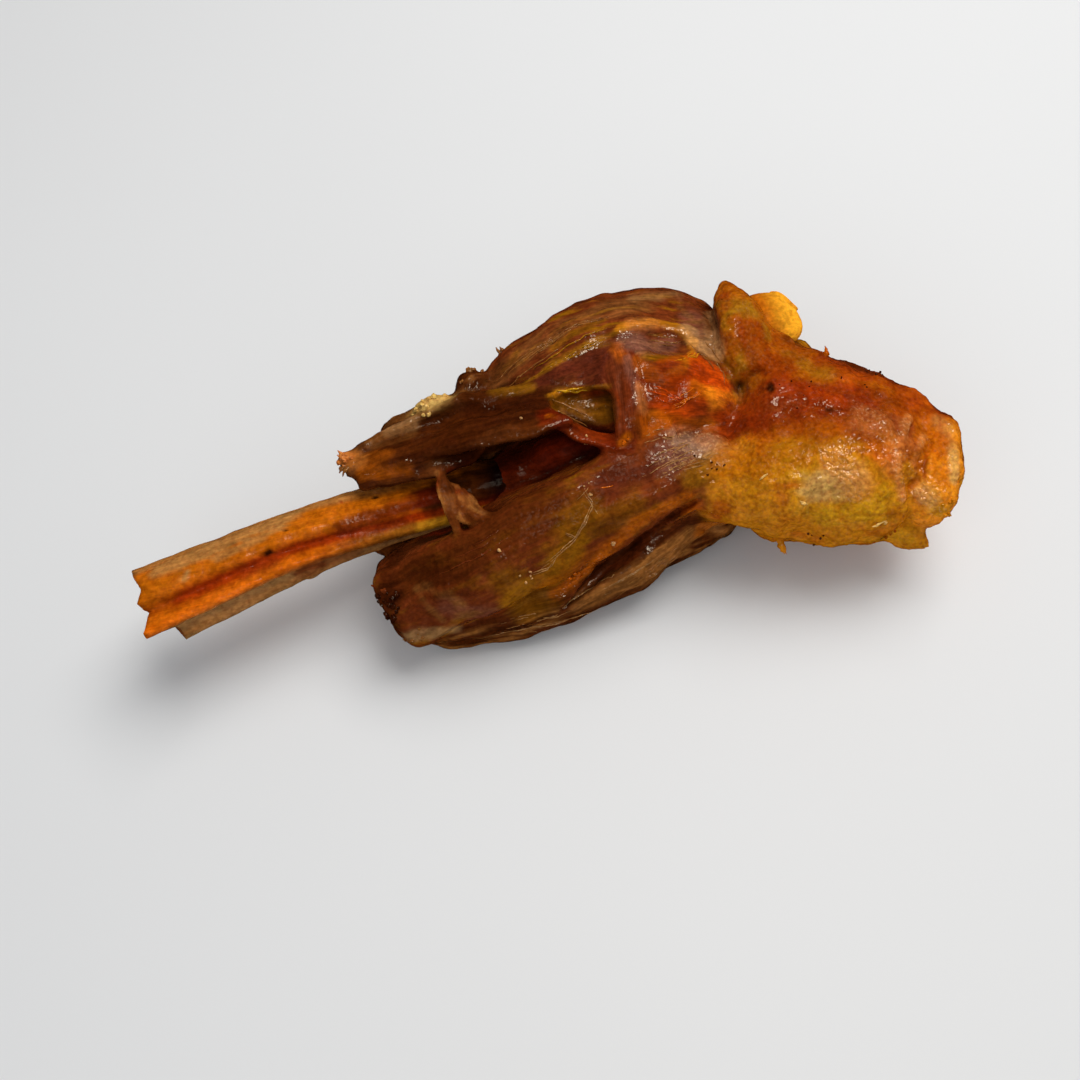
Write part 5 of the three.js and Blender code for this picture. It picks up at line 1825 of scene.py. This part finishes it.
class Trimmings:
    """Sinews, torn fibres and crumbs laid over the flesh."""

    STEP = 1.2

    def __init__(self, maker: MeshMaker, skin: Skinned, seed: int) -> None:
        """Keep what the guides are laid on.

        Args:
            maker: Makes the meshes.
            skin: The finished flesh.
            seed: Seed of the scatter.
        """
        self.maker = maker
        self.ground = BVHTree.FromPolygons(skin.points.tolist(), skin.quads.tolist())
        self.rng = np.random.default_rng(seed)
        self.trees = Trees(seed)

    def _settle(self, point: np.ndarray, lift: float) -> np.ndarray:
        """The nearest place on the flesh, raised a little."""
        place, normal, *_ = self.ground.find_nearest(Vector(point))
        return np.array(place + normal * lift)

    def _strand(self, thread: Thread) -> np.ndarray:
        """One strand's points, strayed from its path and laid on the flesh."""
        knots = np.array(thread.path, float)
        reach = np.append(0.0, np.linalg.norm(np.diff(knots, axis=0), axis=1).cumsum())
        count = max(3, int(reach[-1] / self.STEP) + 1)
        first, last = 0.0, 1.0
        if thread.copies > 1 and thread.snug:
            first, last = self.rng.uniform(0.0, 0.35), self.rng.uniform(0.65, 1.0)
        at = np.linspace(first, last, count) * reach[-1]
        points = np.stack([np.interp(at, reach, knots[:, axis]) for axis in range(3)], 1)
        lean = np.linspace(0.4, 1.0, count)[:, None]
        points += self.rng.normal(0.0, 1.0, 3) * thread.spread * (1.0 if thread.snug else lean)
        if thread.snug:
            points = np.array([self._settle(point, thread.girth * 0.2) for point in points])
        return points

    def _piece(self, name: str, skin: Skinned, girths: list[float], edges: list[tuple[int, int]],
               tree: bpy.types.NodeTree, material: bpy.types.Material) -> bpy.types.Object:
        """Grow a piece from guides.

        Args:
            name: The piece's name.
            skin: Guide points with their colours.
            girths: Size at each point, mm.
            edges: Pairs of joined points.
            tree: The tree that grows it.
            material: Its material.

        Returns:
            The piece as a plain mesh.
        """
        piece = self.maker.make(name, skin, material, edges=edges)
        girth = piece.data.attributes.new("girth", "FLOAT", "POINT")
        girth.data.foreach_set("value", np.array(girths, np.float32) * MM)
        modifier = piece.modifiers.new("grow", "NODES")
        modifier.node_group = tree
        for item in tree.interface.items_tree:
            if item.name == "Material":
                modifier[item.identifier] = material
        graph = bpy.context.evaluated_depsgraph_get()
        mesh = bpy.data.meshes.new_from_object(piece.evaluated_get(graph), depsgraph=graph,
                                               preserve_all_data_layers=True)
        piece.modifiers.remove(modifier)
        piece.data = mesh
        mesh.name = name
        return piece

    @staticmethod
    def _guides(rows: list[np.ndarray], tints: list[Tint], wet: float) -> Skinned:
        """Guide points with one colour for each group of them."""
        points = np.concatenate(rows)
        tone = np.concatenate([np.tile(tint.value, (len(row), 1)) for row, tint in zip(rows, tints)])
        feel = np.tile((0.9, 0.2, wet, 0.4), (len(points), 1))
        return Skinned(points, np.zeros((0, 4), int), tone, points.copy(), feel)

    def sinews(self, material: bpy.types.Material) -> bpy.types.Object:
        """Lay all the strands."""
        rows, tints, girths, edges = [], [], [], []
        for thread in THREADS:
            for _ in range(thread.copies):
                strand = self._strand(thread)
                start = sum(len(row) for row in rows)
                rows.append(strand)
                tints.append(thread.tint)
                girths += [thread.girth * self.rng.uniform(0.7, 1.2)] * len(strand)
                edges += [(start + k, start + k + 1) for k in range(len(strand) - 1)]
        guides = self._guides(rows, tints, 0.6)
        return self._piece("sinews", guides, girths, edges, self.trees.threads, material)

    def crumbs(self, material: bpy.types.Material) -> bpy.types.Object:
        """Scatter all the crumbs."""
        rows, tints, girths = [], [], []
        for cluster in CLUSTERS:
            for _ in range(cluster.count):
                size = cluster.size * self.rng.uniform(0.6, 1.25)
                stray = self.rng.normal(0.0, 0.6, 3) * cluster.spread
                rows.append(self._settle(np.array(cluster.at, float) + stray, size * 0.25)[None])
                tints.append(cluster.tint)
                girths.append(size)
        guides = self._guides(rows, tints, 0.8)
        return self._piece("crumbs", guides, girths, [], self.trees.crumbs, material)


# --- Studio ---


@dataclass(frozen=True)
class Lamp:
    """A rectangular light that faces the shank.

    Attributes:
        name: Its name.
        at: Direction to it.
        far: Distance to it, m.
        size: Its sides, m.
        power: Power, W.
        colour: Its colour.
        mirrored: Whether it only shows in glossy surfaces, or else only lights them.
    """

    name: str
    at: Triple
    far: float
    size: Pair
    power: float
    colour: Triple
    mirrored: bool = False

    def build(self) -> None:
        """Add the light."""
        light = bpy.data.lights.new(self.name, "AREA")
        light.shape = "RECTANGLE"
        light.size, light.size_y = self.size
        light.energy = self.power
        light.color = self.colour
        lamp = bpy.data.objects.new(self.name, light)
        place = Vector(self.at).normalized() * self.far
        lamp.location = place
        lamp.rotation_euler = place.to_track_quat("Z", "Y").to_euler()
        lamp.visible_glossy = self.mirrored
        lamp.visible_diffuse = not self.mirrored
        bpy.context.scene.collection.objects.link(lamp)


LAMPS = (
    Lamp("broad", at=(0.42, 0.32, 0.95), far=1.15, size=(0.8, 0.8), power=11.0, colour=(1.0, 0.985, 0.96)),
    Lamp("sparkle", at=(0.16, -0.12, 0.97), far=1.15, size=(0.34, 0.34), power=5.6,
         colour=(1.0, 0.86, 0.66), mirrored=True),
    Lamp("front fill", at=(-0.6, -0.9, 0.9), far=1.3, size=(1.2, 1.2), power=3.6, colour=(0.97, 0.985, 1.0)),
)


@dataclass
class Studio:
    """Pale floor, soft lights and the camera."""

    SKY = (0.95, 0.97, 1.0, 1.0)
    SKY_STRENGTH = 0.32
    FLOOR_TINTS = ((0.74, 0.745, 0.75, 1.0), (0.78, 0.785, 0.79, 1.0))

    place: ShankFrame
    elevation: float = 64.0
    roll: float = 11.8
    distance: float = 325.0
    target: Triple = (0.0, 0.0, 22.0)
    focal: float = 1060.0
    image: float = 1080.0
    sensor: float = 36.0
    floor_size: float = 4.0

    def build(self) -> None:
        """Set up everything that isn't the shank."""
        self._floor()
        for lamp in LAMPS:
            lamp.build()
        world = bpy.data.worlds.new("studio")
        world.use_nodes = True
        sky = world.node_tree.nodes["Background"]
        sky.inputs["Color"].default_value = self.SKY
        sky.inputs["Strength"].default_value = self.SKY_STRENGTH
        world.cycles_visibility.glossy = False
        bpy.context.scene.world = world
        bpy.context.scene.view_settings.view_transform = "Standard"
        self._camera()

    def _floor(self) -> None:
        """Lay a large pale floor under the shank."""
        half = self.floor_size / 2
        mesh = bpy.data.meshes.new("floor")
        corners = [(-half, -half, 0), (half, -half, 0), (half, half, 0), (-half, half, 0)]
        mesh.from_pydata(corners, [], [(0, 1, 2, 3)])
        material = bpy.data.materials.new("pale floor")
        material.use_nodes = True
        graph = Graph(material.node_tree)
        point = graph.add("ShaderNodeTexCoord").outputs["Object"]
        soft = graph.noise(point, 3.0, 2.0)
        shade = graph.mix(soft, *self.FLOOR_TINTS)
        shader = material.node_tree.nodes["Principled BSDF"]
        graph.tree.links.new(shade, shader.inputs["Base Color"])
        shader.inputs["Roughness"].default_value = 0.6
        mesh.materials.append(material)
        floor = bpy.data.objects.new("floor", mesh)
        floor.visible_glossy = False
        bpy.context.scene.collection.objects.link(floor)

    def _camera(self) -> None:
        """Look at the shank from the photograph's angle."""
        rise, turn = math.radians(self.elevation), math.radians(self.roll)
        back = np.array([0.0, -math.cos(rise), math.sin(rise)])
        right = np.array([1.0, 0.0, 0.0])
        up = np.cross(back, right)
        eye = self.place.metres(np.array(self.target) + back * self.distance)
        across = right * math.cos(turn) - up * math.sin(turn)
        upward = right * math.sin(turn) + up * math.cos(turn)
        data = bpy.data.cameras.new("camera")
        data.sensor_width = self.sensor
        data.lens = self.focal / self.image * self.sensor
        data.clip_start = 0.01
        camera = bpy.data.objects.new("camera", data)
        rows = [(*values, place) for *values, place in zip(across, upward, back, eye)]
        camera.matrix_world = Matrix([*rows, (0.0, 0.0, 0.0, 1.0)])
        bpy.context.scene.collection.objects.link(camera)
        bpy.context.scene.camera = camera


# --- Putting the shank together ---


def main() -> None:
    """Build each piece in order and report it."""
    logging.basicConfig(level=logging.INFO, format="%(name)s: %(message)s")
    effects = Effects()
    bone = Shankbone()
    bone_skin = bone.sculpt()
    place = ShankFrame()
    Studio(place).build()
    maker = MeshMaker(place)
    last = len(bone_skin.points) - 2
    ring = np.arange(bone.sides)
    poles = ((last, ring[::-1]), (last + 1, last - bone.sides + ring))
    piece = maker.make("shankbone", bone_skin, OILY_BONE.build(effects), poles)
    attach(piece, BODY)
    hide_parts("bone")
    LOG.info("shankbone: %d points", len(piece.data.vertices))
    flesh_skin = Flesh().sculpt()
    meat = ROAST_FLESH.build(effects)
    piece = maker.make("flesh", flesh_skin, meat)
    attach(piece, BODY)
    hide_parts("meat")
    LOG.info("flesh: %d points, %d faces", len(piece.data.vertices), len(piece.data.polygons))
    trimmings = Trimmings(maker, flesh_skin, seed=5)
    for piece in (trimmings.sinews(meat), trimmings.crumbs(meat)):
        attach(piece, BODY)
        LOG.info("%s: %d points, %d faces", piece.name, len(piece.data.vertices), len(piece.data.polygons))


if __name__ == "__main__":
    main()
